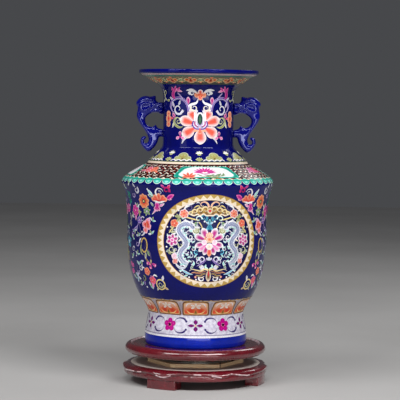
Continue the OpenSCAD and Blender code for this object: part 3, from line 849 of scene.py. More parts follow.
def spray_middle(at):
    pen = at(53.5, 190)
    for k in range(9):
        pen.petal(0, 0, k * 40, 9.8, 6.4, PEACH, ORANGE, 3)
    pen.disc(0, 0, 4.6, RED, ORANGE, layer=5)
    pen.disc(0, 0, 2.8, DARK_GREEN, layer=6)
    pen.disc(0, 0, 1.3, PALE_GOLD, layer=7)
    pen.blade([(-9, -4), (-13, -8), (-12.5, -13)], 2.2, WHITE, 2)
    pen = at(60, 204)
    pen.curl(0, 0, 5, 3, WHITE, 40, 380, 3, PALE)
    pen.leaf(-1.5, 3, 325, 6.5, 3, WHITE, SILVER, 3)
    pen = at(74, 193)
    for angle, length in ((-70, 8), (-30, 10), (10, 8), (150, 8), (190, 9)):
        pen.leaf(0, 0, angle, length, 4.2, TURQUOISE, DARK_GREEN, 2)
    pen.flower(-9, -14, 6, 5, PINK, MAGENTA, CREAM, 3)
    pen = at(66, 177)
    pen.flower(0, 0, 8, 7, PINK, MAGENTA, RED, 3, 10)
    pen.leaf(0, -5, 180, 8, 4, BLUSH, PINK, 2)
    pen = at(51, 177)
    pen.fan((-75, -30, 20, 70, 130, 200, 250), 0, 0, 6.5, 3, PALE_OLIVE, LEAF, 3, 0, "leaf")
    pen.disc(0, 0, 1.8, GREY_VIOLET, WHITE, layer=5)
    pen = at(60.5, 174)
    pen.fan((-60, 0, 60, 180), 0, 0, 4.6, 2.4, PALE_OLIVE, OLIVE, 3, 0, "leaf")
    pen = at(61, 163)
    pen.flower(0, 2, 5, 5, LILAC, PURPLE, CREAM, 3)
    pen.blade([(-2, -1), (-5, -6), (-11, -9), (-17, -12)], 2, PURPLE, 2, LILAC)
    pen.curl(-17, -13.5, 5, 2, LILAC, 60, 430, 2, PURPLE)
    pen.leaf(-5, -6, 200, 7, 3.2, SILVER, PURPLE, 2)
    pen = at(52.5, 158)
    for u, v, size in ((2.5, 5.5, 4.8), (4, -0.5, 4.6), (-3.5, 2, 4.6), (-1.5, -5.5, 4.6), (1, 1, 4)):
        pen.disc(u, v, size, BLUSH, CORAL, layer=3, lobes=5, depth=0.12)
    pen.disc(1, 1.5, 4.4, CORAL, RED, layer=5, lobes=5, depth=0.2)
    pen.blade([(0, 5), (1, 0), (-1, -5)], 1.2, PEACH, 6)
    pen.leaf(3, 6, 28, 6, 3.4, WHITE, PINK, 3)
    pen.stroke([(-3, -8), (-6, -11.5), (-10, -13)], 3.2, WHITE, PALE, 3, "tail")
    pen = at(76, 164)
    pen.fan((-10, 40, 170, 215), 0, 0, 9, 3.4, PALE_OLIVE, GREY_VIOLET, 2, 0, "leaf")


def spray_low(at):
    pen = at(81, 135)
    pen.fan((-20, 60, 150, 230, 300), 0, 0, 8, 6, SKY, TEAL, 3)
    pen.disc(0, 0, 2.4, WHITE, SKY, layer=5)
    pen.leaf(-2, 8, 345, 7, 3, WHITE, TEAL, 3)
    pen = at(56, 133)
    pen.ring(0, 0, 5.6, 2.2, GOLD, 3, high=9, start=-70, sweep=300)
    pen.ring(0, 0, 5.6, 0.8, PALE_GOLD, 4, high=9, start=-70, sweep=300)
    pen.blades(
        ([(-5, 2), (-7, -4), (-6, -10), (-2, -13)], 2.4, PALE_OLIVE, 3, OLIVE),
        ([(-5, 9), (-8.5, 6), (-9.5, 1)], 2, WHITE, 3),
        ([(1, 5), (2.5, 0), (0, -5)], 2, GREY_VIOLET, 3, BLACK))
    pen.leaves((5, -6, 150, 9, 3.2, PALE_OLIVE, LEAF, 3), (3, -9, 190, 9, 3.4, WHITE, OLIVE, 3))
    pen.stroke([(1, -13), (3, -18), (7, -22), (9.5, -25)], 2, PALE_GOLD, BROWN, 2, "even")
    pen = at(49.5, 110)
    for angle, length in ((258, 8), (192, 8.5), (118, 9)):
        pen.petal(0, 1, angle, length, 5.8, PINK, MAGENTA, 4, 0.1, "drop")
        pen.petal(0, 1, angle, length * 0.98, 2.2, WHITE, BLUSH, 5, 0.72, "leaf")
    pen.petal(0, 0, 0, 5.5, 3.4, BROWN, PALE_OLIVE, 4, 0)
    pen = at(63.5, 103)
    pen.curl(0, 0, 4.4, 2.2, WHITE, 30, 420, 3, PALE)
    pen.leaf(-2, 2.5, 320, 8, 3, WHITE, PALE_TURQUOISE, 3)
    pen = at(55.5, 99)
    pen.flower(0, 0, 5.4, 5, PEACH, CORAL, RED, 3, 20)
    pen.leaf(5, -5, 140, 5.5, 3, BLUSH, PURPLE, 3)
    pen.blade([(-4, 4), (-8, 4.5), (-11, 3)], 1.8, WHITE, 2)
    pen = at(80, 101)
    pen.fan((-10, 50, 140, 190), 0, 0, 8.5, 5.6, PINK, MAGENTA, 3)
    pen = at(71, 90)
    for angle, shade in ((-40, SKY), (20, LILAC), (110, SILVER), (200, SKY)):
        pen.leaf(0, 0, angle, 7.5, 3.4, WHITE, shade, 2)
    pen = at(61.5, 89)
    pen.curl(0, 0, 4, 1.8, OLIVE, 0, 400, 2)
    pen.leaf(0, -3, 190, 6, 2.6, LILAC, PURPLE, 2)
    pen = at(50.5, 88)
    pen.flower(0, 0, 5.6, 5, PINK, CORAL, MAGENTA, 3, 10)
    pen.leaf(-1, -3, 185, 7.5, 3.8, BLUSH, PINK, 3)
    pen.blade([(1, 5), (4.5, 7), (8.5, 5)], 2.2, WHITE, 3)
    pen = at(42.5, 83)
    pen.ring(0, 0, 6.4, 1.7, PALE_GOLD, 3)
    pen.curl(0, 0, 4.2, 1.6, PALE_OLIVE, 90, 430, 3)
    pen.leaves(
        (3.5, 4.5, 15, 8, 3.4, WHITE, PALE, 4), (4, -3, 115, 7, 2.8, CREAM, GOLD, 4),
        (-4, -4, 215, 5, 2.6, WHITE, OLIVE, 4))
    for d, z, lean in (
            (64, 182, 30), (70, 170, -40), (69, 152, 160), (63, 144, -20), (73, 141, 40), (66, 120, 10),
            (74, 116, -50), (62, 112, 150), (77, 88, 20), (66, 80, -30), (55, 80, 60), (84, 152, 10),
            (78, 180, -30), (80, 206, 40), (68, 212, -60), (46, 165, 20), (47, 148, -30)):
        pen = at(d, z)
        for turn, shade in ((0, LEAF), (70, TURQUOISE), (-60, SILVER)):
            pen.leaf(0, 0, lean + turn, 6, 2.5, PALE_OLIVE if shade == LEAF else WHITE, shade, 2)
    for d, z, sweep in ((66, 197, 400), (57, 166, -380), (65, 134, 380), (72, 126, -400), (69, 97, 380),
            (86, 190, 380)):
        at(d, z).curl(0, 0, 4, 1.7, LILAC if sweep > 0 else PALE, 60, sweep, 2)
    for d, z, points in (
            (48, 170, [(0, 0), (-5, -6), (-6, -14), (-10, -20)]),
            (62, 160, [(0, 0), (3, -8), (1, -18), (5, -26)]),
            (70, 112, [(0, 0), (2, -7), (-1, -14), (2, -20)]), (52, 128, [(0, 0), (4, -5), (5, -12)]),
            (76, 184, [(0, 0), (-3, -8), (-1, -16)]), (84, 130, [(0, 6), (2, 0), (-1, -8)])):
        at(d, z).stroke(points, 1.3, GREY_VIOLET, layer=0.5)
    for d, z in ((86, 214), (47, 206), (70, 168), (58, 150), (68, 118), (60, 78), (88, 146)):
        at(d, z).disc(0, 0, 1.2, WHITE, layer=2)
    pen = at(88, 177)
    pen.flower(0, 0, 7.5, 6, BLUSH, MAGENTA, RED, 3)
    pen.stroke([(0, -7), (-1, -14), (1, -22)], 1.8, LEAF, layer=2)
    pen = at(88, 118)
    pen.stroke([(0, 16), (-1.5, 8), (0, 0), (2, -8)], 1.8, PALE_GOLD, layer=2)
    pen.leaves((0, 0, 60, 7, 3.2, PALE_OLIVE, LEAF, 2), (0, 4, 300, 7, 3.2, PALE_OLIVE, LEAF, 2))


def sprays(axis, name):
    """Flower sprays on both sides of a medallion, out to a quarter turn."""
    pen = Enamel(name)
    for flip in (1, -1):
        def at(d, z):
            skew = float(np.interp(z, (90, 205), (0.5, 3.8)))
            return pen.go(axis - skew - flip * d, z, flip)
        spray_top(at)
        spray_middle(at)
        spray_low(at)
    pen.finish()


def neck_lotus(pen):
    """The big lotus, its green pistil in a white cup, and the purple ring round its heart."""
    rose = rgb(252, 236, 236)
    for side in (-1, 1):
        pen.stroke([(side * 4, 4), (side * 14.5, 19.5)], 12.8, rose, CORAL, 2, "petal")
        pen.stroke([(side * 6, 1), (side * 27.5, 7.5)], 13.6, rose, CORAL, 3, "petal")
        pen.stroke([(side * 5, -3), (side * 23.5, -15)], 14.8, rose, CORAL, 4, "petal")
    pen.stroke([(0, -4), (0.8, -25.5)], 15.8, rose, CORAL, 5, "petal")
    pen.stroke([(0, -6), (0, -12)], 6, PEACH, CORAL, 7, "drop")
    for side in (-1, 1):
        pen.blades(
            ([(side * 1.5, -8.5), (side * 5, -7.2), (side * 8, -9.6)], 3, PEACH, 7),
            ([(side * 7.6, 5), (side * 6.2, 11), (side * 7.4, 16.5)], 3.4, WHITE, 5))
    pen.disc(0, 0.2, 8.6, WHITE, LILAC, layer=6, wide=1.08)
    for side in (-1, 1):
        pen.stroke([(side * 8.4, 5), (side * 9.6, 0), (side * 6, -4.8), (side * 1, -5.6)], 1.7, PURPLE,
            layer=8)
        pen.stroke([(side * 6.6, 4.5), (side * 6.6, 0.4), (side * 3.4, -2.6)], 1.5, MAGENTA, layer=9)
        pen.stroke([(side * 4.4, 3), (side * 4.2, -0.4), (side * 1.6, -1.8)], 1.1, WHITE, layer=9)
        pen.disc(side * 2.8, -2.4, 1.2, GREY_VIOLET, layer=10)
        pen.blade([(side * 3.6, 3), (side * 4.4, 10), (side * 6.8, 15.6)], 2.4, WHITE, 7)
    pen.disc(0, 11, 5.2, WHITE, layer=6, wide=0.9)
    pen.disc(0, 7.2, 7.2, rgb(10, 60, 48), rgb(2, 62, 50), layer=10, wide=0.46)
    pen.blade([(0, 1), (0, 12)], 1.2, LEAF, 12)


def neck_scrolls(pen):
    """Flowers and scrolls round the lotus, left half."""
    pen.blade([(-3, 39.5), (-8, 43.5), (-13, 45), (-19, 44.5)], 3.6, WHITE, 2)
    pen.curl(-10.5, 40.8, 3.2, 2.7, WHITE, 330, -330, 3)
    pen.blade([(-13, 44), (-15.5, 41), (-13.5, 39)], 1.8, WHITE, 3)
    pen.disc(-4.3, 38.6, 3.6, PEACH, ORANGE, layer=3)
    pen.blades(
        ([(-35, 33), (-38.5, 37), (-38, 42), (-34, 45)], 5.4, PINK, 4, MAGENTA),
        ([(-36, 42), (-33, 45), (-29, 44), (-24, 42.5)], 3.6, BLUSH, 5, PINK))
    pen.leaves(
        (-36, 42, 12, 8.5, 3.8, PINK, MAGENTA, 5), (-37.5, 41, 338, 8.5, 3.8, PINK, MAGENTA, 5),
        (-33, 43, 45, 8, 3, PINK, MAGENTA, 5))
    pen.stroke([(-22, 31.5), (-26.5, 37), (-31, 41)], 1.5, LILAC, layer=3)
    ring = [(-14.5, 17), (-16, 24), (-20, 30.5), (-27, 34.2), (-35, 33.5), (-41.5, 29), (-43.5, 22.5)]
    pen.stroke(ring, 3.6, LILAC, layer=2)
    pen.stroke(ring, 2.6, PURPLE, layer=3)
    pen.stroke([(u + 0.5, v - 0.5) for u, v in ring], 0.7, SILVER, layer=5)
    pen.stroke([(-43.5, 23), (-40, 17.5), (-35, 16)], 2.2, LILAC, layer=3, shape="tail")
    pen.curl(-30, 20, 7.6, 3, WHITE, 100, 420, 4, PALE)
    pen.leaves(
        (-36.5, 22, 335, 8.5, 3.4, WHITE, LILAC, 3), (-29.5, 24, 20, 8, 2.6, WHITE, SILVER, 4),
        (-39, 32, 300, 7, 3, WHITE, LILAC, 4))
    pen.petal(-15.4, 26.5, 358, 9.5, 5, BLUSH, MAGENTA, 5, 0)
    pen.blade([(-2.5, 33.5), (-5, 28.5), (-10, 26.5), (-14.5, 24.5), (-15, 20)], 3.2, WHITE, 4)
    pen.curl(-7.8, 21.8, 5, 2.5, WHITE, 300, -420, 4, CREAM)
    pen.petal(-5, 20.5, 165, 5, 2.6, WHITE, layer=4, core=PALE, near=0)
    pen.blade([(-22, -2.5), (-28, -3.5), (-34, -0.5), (-36.5, 4), (-33, 8.5), (-28.5, 9)], 3.8, PALE_OLIVE,
        3, OLIVE)
    pen.curl(-29.5, 4.2, 4.2, 2, PALE_OLIVE, 10, 400, 3)
    pen.leaves(
        (-36, 3.5, 205, 8.5, 2.8, WHITE, PALE_OLIVE, 4), (-35, 8.5, 330, 8, 4.8, BLUSH, MAGENTA, 4),
        (-37.5, 7.5, 285, 6, 2.8, PINK, CORAL, 4))
    for v, size in ((14, 3.9), (7.5, 5.2), (0.5, 3.9)):
        pen.disc(-48, v, size, PEACH, layer=3, wide=1.2)
        pen.disc(-47.6, v, size * 0.7, PEACH, CORAL, layer=5, wide=1.2)
    pen.blade([(-48, 12), (-47.5, 8), (-48, 3)], 2, RED, 6)
    for angle, shade in ((0, MAGENTA), (115, PINK), (245, PINK)):
        pen.petal(-26.5, -15.5, angle, 7, 4.2, BLUSH, shade, 4)
    pen.disc(-26.5, -15.5, 1.5, MAGENTA, layer=6)
    pen.stroke([(-14, -13), (-18, -16), (-21.5, -20), (-24, -24.5)], 4.4, WHITE, PALE, 3, "tail")


def far_scroll(pen):
    """The olive and white scroll near a handle."""
    pen.blade([(-50, 31), (-54.5, 32.5), (-59, 36), (-60.5, 41), (-63, 46)], 3, WHITE, 3, OLIVE)
    pen.curl(-55.5, 41, 4.2, 2, PALE_OLIVE, 200, 400, 3)
    pen.leaves((-51, 30.5, 75, 6, 3, PALE_OLIVE, OLIVE, 3), (-58, 33, 230, 6, 2.6, WHITE, PALE_OLIVE, 3))


def neck_picture(axis, name):
    pen = Enamel(name)
    for flip in (1, -1):
        pen.go(axis, LOTUS_Z, flip)
        neck_scrolls(pen)
        far_scroll(pen)
    pen.go(axis, LOTUS_Z)
    neck_lotus(pen)
    for angle in (0, 180):
        pen.petal(0, 38.8, angle, 7, 6.4, WHITE if angle == 0 else PEACH, CORAL, 5, 0)
    pen.disc(0, 38.6, 3.2, CORAL, ORANGE, layer=7, lobes=4, depth=0.2)
    pen.finish()


def rim_band():
    """Under the mouth: cloud heads with orange hearts on a green ground, below a pale line."""
    pen = Enamel("rim_band")
    pen.band(340.5, 352.2, rgb(62, 70, 58), rgb(124, 118, 96))
    pen.band(352, 354.4, rgb(168, 146, 138), rgb(196, 176, 176), 0)
    pen.band(350.9, 352.1, rgb(40, 120, 100), layer=0.5)
    count = 15
    for k in range(count):
        pen.go(RIM_TURN + 360 * k / count, RIM_BAND_Z, along=True)
        for side in (-1, 1):
            pen.disc(side * 5, -0.2, 3.9, rgb(206, 186, 138), GOLD, layer=1)
            pen.disc(side * 4.9, -0.2, 2.5, ORANGE, RUST, layer=2)
            pen.curl(side * 11, 0.5, 2.9, 1.3, PALE_OLIVE, 0, side * 430, 2)
            pen.blade([(side * 7.5, -4.8), (side * 11, -3.6), (side * 14, -5)], 1.5, PALE_GOLD, 2)
        pen.petal(0, 2.5, 180, 10, 9.4, rgb(214, 176, 128), rgb(206, 110, 66), 3, 0)
        pen.petal(0, 2.0, 180, 6.2, 4.6, rgb(196, 96, 56), rgb(110, 40, 26), 4, 0)
        pen.petal(0, 3, 0, 3.6, 5, PEACH, ORANGE, 3, 0)
        pen.go(RIM_TURN + 360 * (k + 0.5) / count, RIM_BAND_Z, along=True)
        pen.petal(0, -3.2, 0, 6.5, 3.4, PALE_OLIVE, LEAF, 2, 0)
        pen.disc(0, -5.2, 1.6, CORAL, PEACH, layer=3)
        pen.blade([(-5.5, 4.5), (0, 2.8), (5.5, 4.5)], 1.2, PALE_GOLD, 2)
    pen.finish()


def neck_foot_band():
    """Where the neck meets the shoulder: olive trefoils, small white lotuses and a scalloped line."""
    pen = Enamel("neck_foot_band")
    pen.band(237.7, 240.7, CREAM, rgb(226, 206, 190), 0)
    pen.band(240.5, 241.6, rgb(70, 92, 50), layer=1)
    for k in range(9):
        pen.go(2 + k * 40, 251.2, along=True)
        pen.fan((-75, -38, 0, 38, 75), 0, 0, 5.0, 2.0, PALE_OLIVE, WHITE, 2, 0)
        pen.disc(0, -1.2, 2, PALE_OLIVE, OLIVE, layer=3, wide=1.3)
        pen.go(2 + k * 40, 243.8, along=True)
        pen.fan((-66, -33, 0, 33, 66), 0, -1.5, 5.4, 2.2, PALE_OLIVE, OLIVE, 2, 0)
        pen.disc(0, -0.8, 2.1, PALE_OLIVE, OLIVE, layer=3)
        pen.go(k * 40 + 21, 246.3, along=True)
        for u, v, size in ((0, 1.6, 7.0), (-7.6, -1.6, 3.9), (7.6, -1.6, 3.9)):
            pen.disc(u, v, size, rgb(214, 216, 196), layer=1)
            pen.disc(u, v, size - 0.7, OLIVE, rgb(182, 184, 132), layer=2)
        pen.fan((-50, 0, 50), 0, -1, 6, 2.2, GOLD, OLIVE, 4, 0, "leaf")
        pen.disc(0, -1.5, 1.5, BROWN, layer=5)
        for u in (-11, -3.7, 3.7, 11):
            pen.go(k * 40 + 20 + u * 0.92, 242.2, along=True)
            pen.stroke([(-3.6, -0.6), (-1.8, 1.3), (0, 1.7), (1.8, 1.3), (3.6, -0.6)], 1.2, WHITE, layer=5)
    pen.finish()


def lattice(pen):
    """A dense basket pattern of cream strokes and rust dots on black, all round the slope."""
    pen.band(LATTICE_LOW, LATTICE_HIGH, BLACK, rgb(60, 24, 20), 0)
    rows, columns = 6, 54
    for row in range(rows):
        z = LATTICE_LOW + 1.6 + row * (LATTICE_HIGH - LATTICE_LOW - 1.6) / rows
        lean = 1 if row % 2 else -1
        for k in range(columns):
            pen.go((k + 0.5 * (row % 2)) * 360 / columns, z, along=True)
            length = 3.5 - 0.14 * row
            ends = [(-length, -lean * 2.2), (length, lean * 2.2)]
            pen.stroke(ends, 1.7, rgb(240, 228, 212), layer=1, shape="leaf", dome=0.05)
            pen.stroke([(length * 0.8, -lean * 1.6), (length * 1.4, lean * 0.2)], 1.0, rgb(140, 60, 34),
                layer=1, dome=0.05)
            pen.disc(-length * 0.9, lean * 0.8, 0.8, CORAL if k % 2 else CREAM, layer=1)


def cartouche(pen, azimuth, low_half, high_half, cut):
    """A white window framed in turquoise, as wide as given at its low and high edges, in degrees."""
    middle = (LATTICE_LOW + LATTICE_HIGH) / 2 + 0.2
    reach = [math.radians(half) * np.interp(above_foot(level), WALL.z, WALL.r) / MM
             for half, level in ((low_half, LATTICE_LOW), (high_half, LATTICE_HIGH))]
    rows = np.linspace(-1, 1, 23)
    for side, tall, notch, colour, layer in (
            (0, 13.2, 0.35, TURQUOISE, 2), (-1.6, 12.4, 0.45, rgb(22, 150, 128), 3),
            (-5.4, 11.6, 0.8, PALE_TURQUOISE, 4), (-6.4, 11.0, 0.9, WHITE, 5)):
        corner = np.clip((np.abs(rows) - 0.42) / 0.58, 0, 1) ** 2.2
        half = np.interp(rows, (-1, 1), reach) + side - cut * notch * corner
        pen.go(azimuth, middle, along=True)
        v = rows[:, None] * tall * np.ones((1, 25))
        u = half[:, None] * np.linspace(-1, 1, 25)[None, :]
        pen.patch(u[::-1], v[::-1], np.array(colour), layer, 0.0)


def window_picture(pen, azimuth):
    """A loose lotus, a coral bud and grasses inside the front or back window."""
    pen.go(azimuth - 1.5, 229.5, along=True)
    for angle, length in (
            (-84, 15), (-68, 15), (-50, 14), (-30, 13.5), (-8, 13), (14, 13), (34, 13.5), (54, 14), (70, 15),
            (85, 15)):
        pen.petal(0, -4, angle, length, 3.2, PINK, MAGENTA, 7, 0.2, "leaf")
    pen.blade([(-7, -5), (0, -6.6), (7, -5)], 2, MAGENTA, 8)
    pen.disc(0, -1, 1.6, RED, layer=8)
    pen.go(azimuth - 15, 223.6, along=True)
    for angle in (-84, -50, -14, 24, 58, 84):
        pen.petal(0, -2.4, angle, 8.6 if abs(angle) > 60 else 11, 3.6, PEACH, rgb(214, 60, 56), 7, 0)
    pen.blade([(-6, -2.6), (0, -3.6), (6, -2.6)], 1.4, PEACH, 8)
    pen.go(azimuth + 2, 223.4, along=True)
    pen.blades(
        ([(-13, -2.5), (-5, 0), (5, -1.5), (15, 1), (22, 2)], 1.8, OLIVE, 7),
        ([(-10, 1), (-2, 2.2), (8, 2), (20, 4.5)], 1.5, LEAF, 7))
    for u, angle in ((-9, 300), (-5, 70), (0, 55), (3, 110), (7, 50), (11, 35), (14, 62), (17, 20)):
        pen.leaf(u, 0.3, angle, 8, 2.2, OLIVE, LEAF, 8)
    pen.blade([(4, -4.4), (9, -3.6), (16, -4.6)], 1.3, GOLD, 7)


def shoulder_bloom(pen, azimuth, edge, core):
    pen.go(azimuth, 230.5, along=True)
    pen.flower(0, 0, 6.6, 6, edge, core, RED, 3, 10)
    pen.leaves((4, -3, 120, 8, 4, edge, core, 2), (-4, -3, 250, 8, 4, edge, core, 2))


def shoulder_band():
    pen = Enamel("shoulder_band")
    lattice(pen)
    for azimuth in (WINDOW_TURN, WINDOW_TURN + 180):
        cartouche(pen, azimuth, 27.5, 25.5, 9)
        window_picture(pen, azimuth)
        for offset, edge, core in ((-61, BLUSH, RED), (-53, PEACH, CORAL), (52, BLUSH, MAGENTA),
                (60, PINK, RED)):
            shoulder_bloom(pen, azimuth + offset, edge, core)
    for azimuth in (WINDOW_TURN + 90, WINDOW_TURN + 270):
        cartouche(pen, azimuth, 16, 14, 5)
        shoulder_bloom(pen, azimuth, BLUSH, MAGENTA)
    pen.band(217.8, 219.4, rgb(30, 150, 130), TURQUOISE, 3)
    count = 46
    for k in range(count):
        pen.go(360 * k / count, LAPPET_EDGE_Z, along=True)
        pen.disc(0, 0, 4.9, rgb(206, 236, 226), layer=1, wide=1.24)
        pen.disc(0, 0.3, 4.3, TURQUOISE, rgb(92, 214, 192), layer=2, wide=1.26)
        pen.disc(0, -1.2, 1.6, PALE_TURQUOISE, layer=3, wide=1.4)
        pen.go(360 * (k + 0.5) / count, 215.9, along=True)
        pen.petal(0, 2.4, 180, 3.2, 2.2, GREY_VIOLET, BLACK, 3, 0)
        pen.go(360 * (k + 0.5) / count, 219.9, along=True)
        pen.disc(0, 0, 1.0, CREAM, layer=4, wide=1.8)
    pen.finish()


def lappet(pen):
    """One arched panel, with a white flower over two red lobes."""
    edge = np.abs(np.linspace(-1, 1, 17))[None, :]
    for width, height, colour, layer in ((31, 20.2, BROWN, 1), (28.2, 17.6, rgb(214, 168, 118), 2),
            (26.4, 15.8, ORANGE, 3)):
        rows = np.linspace(1, -1, 17)[:, None]
        soft = np.clip((np.abs(rows) - 0.62) / 0.38, 0, 1)
        narrow = 1 - 0.07 * soft**2
        u = np.linspace(-1, 1, 17)[None, :] * width / 2 * narrow
        v = rows * height / 2 - np.clip(rows, 0, 1) * 1.3 * edge**4
        if layer == 3:
            glow = (np.clip(0.45 + 0.7 * rows, 0, 1) * (0.75 + 0.25 * edge))[..., None]
            colour = np.array(rgb(222, 84, 46)) * (1 - glow) + np.array(rgb(246, 208, 172)) * glow
        pen.patch(u, v, np.array(colour), layer, 0.0)
    for side in (-1, 1):
        pen.disc(side * 5.4, -4.2, 4.4, ORANGE, rgb(206, 52, 36), layer=4, wide=1.15)
        pen.blades(
            ([(side * 1.2, -7.6), (side * 6.5, -7.2), (side * 10.8, -3.5)], 1.1, PALE_GOLD, 5),
            ([(side * 4, 7), (side * 9.5, 6), (side * 11.4, 1)], 1.3, WHITE, 4))
    pen.stroke([(0, -2.8), (0, -8.2)], 4.8, GOLD, BROWN, 5, "drop")
    for angle in (0, 68, 122, 238, 292):
        pen.petal(0, 2.4, angle, 6.2 if angle else 5, 2.7, WHITE, CREAM, 5, 0.1)


def lappet_band():
    pen = Enamel("lappet_band")
    pen.band(42.6, 63, rgb(170, 160, 172), rgb(196, 188, 196), 0)
    count = 11
    for k in range(count):
        pen.go(360 * k / count, LAPPET_Z, along=True)
        radius = float(np.interp(pen.height, WALL.z, WALL.r)) / MM
        pen.size = radius * math.radians(28.6) / 30
        lappet(pen)
        pen.go(360 * (k + 0.5) / count, LAPPET_Z, along=True)
        for u in (-0.9, 0.9):
            pen.stroke([(u, -10), (u * 0.8, 9)], 0.5, rgb(130, 124, 136), layer=1, dome=0.03)
    scallops = 36
    for k in range(scallops):
        pen.go(360 * k / scallops, LAPPET_TOP, along=True)
        pen.stroke([(-6.4, 0.9), (-3.2, -0.5), (0, -0.9), (3.2, -0.5), (6.4, 0.9)], 1.0, GOLD, layer=3,
            dome=0.05)
    pen.finish()


def speckled_white():
    """White ground dabbed all over with lilac grey."""
    made, tree, shader = material("speckled_white", 0.25, Coat_Weight=0.5, Coat_Roughness=0.08)
    place = coordinates(tree)
    cells = node(tree, "ShaderNodeTexVoronoi", Scale=1150.0)
    tree.links.new(place, cells.inputs["Vector"])
    dabs = ramp(tree, cells.outputs["Distance"], [(0.2, rgb(148, 138, 174)), (0.42, rgb(228, 226, 238))])
    soft = ramp(tree, grain(tree, place, 240, 4), [(0.35, rgb(204, 198, 216)), (0.62, rgb(240, 240, 246))])
    tree.links.new(mix(tree, "MULTIPLY", 0.5, soft, dabs), shader.inputs["Base Color"])
    bump(tree, shader, grain(tree, place, 620, 2), 0.25, 0.0002)
    return made


def white_band():
    """The white zone above the foot: crosses and plum blossoms between open scrolls."""
    ground = Enamel("white_band_ground")
    ground.band(WHITE_LOW, WHITE_HIGH, WHITE, layer=-0.3)
    made = ground.finish()
    made.data.materials[0] = speckled_white()
    pen = Enamel("white_band_flowers")
    pen.band(13.6, 15.6, WHITE, rgb(238, 236, 244), 0.5)
    pen.band(16.6, 17.3, rgb(96, 88, 130), layer=0.5)
    ink = rgb(52, 34, 104)

    def spread(azimuth):
        return azimuth + 4.5 * math.sin(math.radians(azimuth))

    for k in range(6):
        pen.go(spread(60 * k), 29.4)
        for angle, length, wide in ((0, 7.6, 5.6), (180, 7.6, 5.6), (90, 10, 4), (270, 10, 4)):
            pen.petal(0, 0, angle, length, wide, rgb(90, 14, 104), rgb(120, 16, 110), 2, 0.16, "leaf")
        pen.disc(0, 0, 1.2, PALE_GOLD, PEACH, layer=3)
        pen.go(spread(60 * k + 31), 29.8, size=1.13)
        for petal in range(5):
            angle = petal * 72
            pen.disc(4.7 * math.sin(math.radians(angle)), 4.7 * math.cos(math.radians(angle)), 3.1,
                     rgb(176, 10, 134), MAGENTA, layer=3)
        pen.disc(0, 0, 1.7, rgb(60, 6, 40), layer=5)
        for angle in range(0, 360, 72):
            turn = math.radians(angle + 36)
            pen.disc(2.6 * math.sin(turn), 2.6 * math.cos(turn), 0.5, CORAL, layer=6)
        for side in (-1, 1):
            pen.go(spread(60 * k + side * 16.8), 29.4, -side)
            for up in (-1, 1):
                rise = [(-8, 3), (-6.4, 7), (-1.5, 9.4), (4.4, 8.8), (8.2, 5.4)]
                pen.stroke([(u, up * v) for u, v in rise], 2.8, ink, layer=2, shape="drop")
                pen.disc(8, up * 5.2, 1.5, ink, layer=3)
    pen.finish()


# ---- handles ----

def applied(made, *modifiers):
    """Adds modifiers given as (kind, settings), applies them all and returns the object."""
    for kind, settings in modifiers:
        modifier = made.modifiers.new(kind, kind)
        for key, value in settings.items():
            setattr(modifier, key, value)
    graph = bpy.context.evaluated_depsgraph_get()
    mesh = bpy.data.meshes.new_from_object(made.evaluated_get(graph))
    made.modifiers.clear()
    made.data = mesh
    return made


def tube(points, radii, flat=1.0, sides=10, count=24):
    """Points and faces of a round-ended tube through (x, y, z) points in mm; flat squeezes it along Y."""
    p = np.array(points, float)
    fine_xz = smooth_path(p[:, [0, 2]], count)[0]
    at = np.linspace(0, 1, count)
    y = np.interp(at, np.linspace(0, 1, len(p)), p[:, 1])
    r = np.interp(at, np.linspace(0, 1, len(radii)), radii)
    cap = np.sin(math.pi * np.clip(np.minimum(at, 1 - at) * 6, 0.04, 0.5))
    way = np.gradient(fine_xz, axis=0)
    way /= np.maximum(np.hypot(*way.T), 1e-9)[:, None]
    angle = np.linspace(0, math.tau, sides, endpoint=False)
    verts, faces = [], []
    for i in range(count):
        for a in angle:
            out = r[i] * cap[i] * math.cos(a)
            side = r[i] * cap[i] * flat * math.sin(a)
            x, z = fine_xz[i, 0] - way[i, 1] * out, fine_xz[i, 1] + way[i, 0] * out
            verts.append((x * MM, (y[i] + side) * MM, z * MM))
    for i in range(count - 1):
        for k in range(sides):
            a, b = i * sides + k, i * sides + (k + 1) % sides
            faces.append((a, b, b + sides, a + sides))
    faces += [tuple(range(sides))[::-1], tuple(range((count - 1) * sides, count * sides))]
    return verts, faces


class Silhouette:
    """The free outline of a flat packed handle, to tell how deep inside it a point lies."""

    def __init__(self, mesh):
        corners = []
        neck = min(math.hypot(v.co.x, v.co.y) for v in mesh.vertices) + 0.8 * MM
        for face in mesh.polygons:
            if abs(face.normal.y) > 0.5:
                continue
            for a, b in face.edge_keys:
                one, two = mesh.vertices[a].co, mesh.vertices[b].co
                if min(math.hypot(one.x, one.y), math.hypot(two.x, two.y)) > neck:
                    steps = max(1, int((one - two).length / (0.4 * MM)))
                    corners += [one.lerp(two, k / steps) for k in range(steps + 1)]
        self.tree = KDTree(len(corners))
        for index, place in enumerate(corners):
            self.tree.insert((place.x, 0, place.z), index)
        self.tree.balance()

    def depth(self, x, z):
        return self.tree.find((x, 0, z))[2] / MM


def handle_relief(depth):
    """How much thicker the body is at a depth inside its outline, in mm: a rolled edge beside a groove."""
    roll = 0.25 * math.exp(-((depth - 2.2) / 1.0) ** 2)
    groove = -0.4 * math.exp(-((depth - 4.2) / 0.9) ** 2)
    return roll + groove


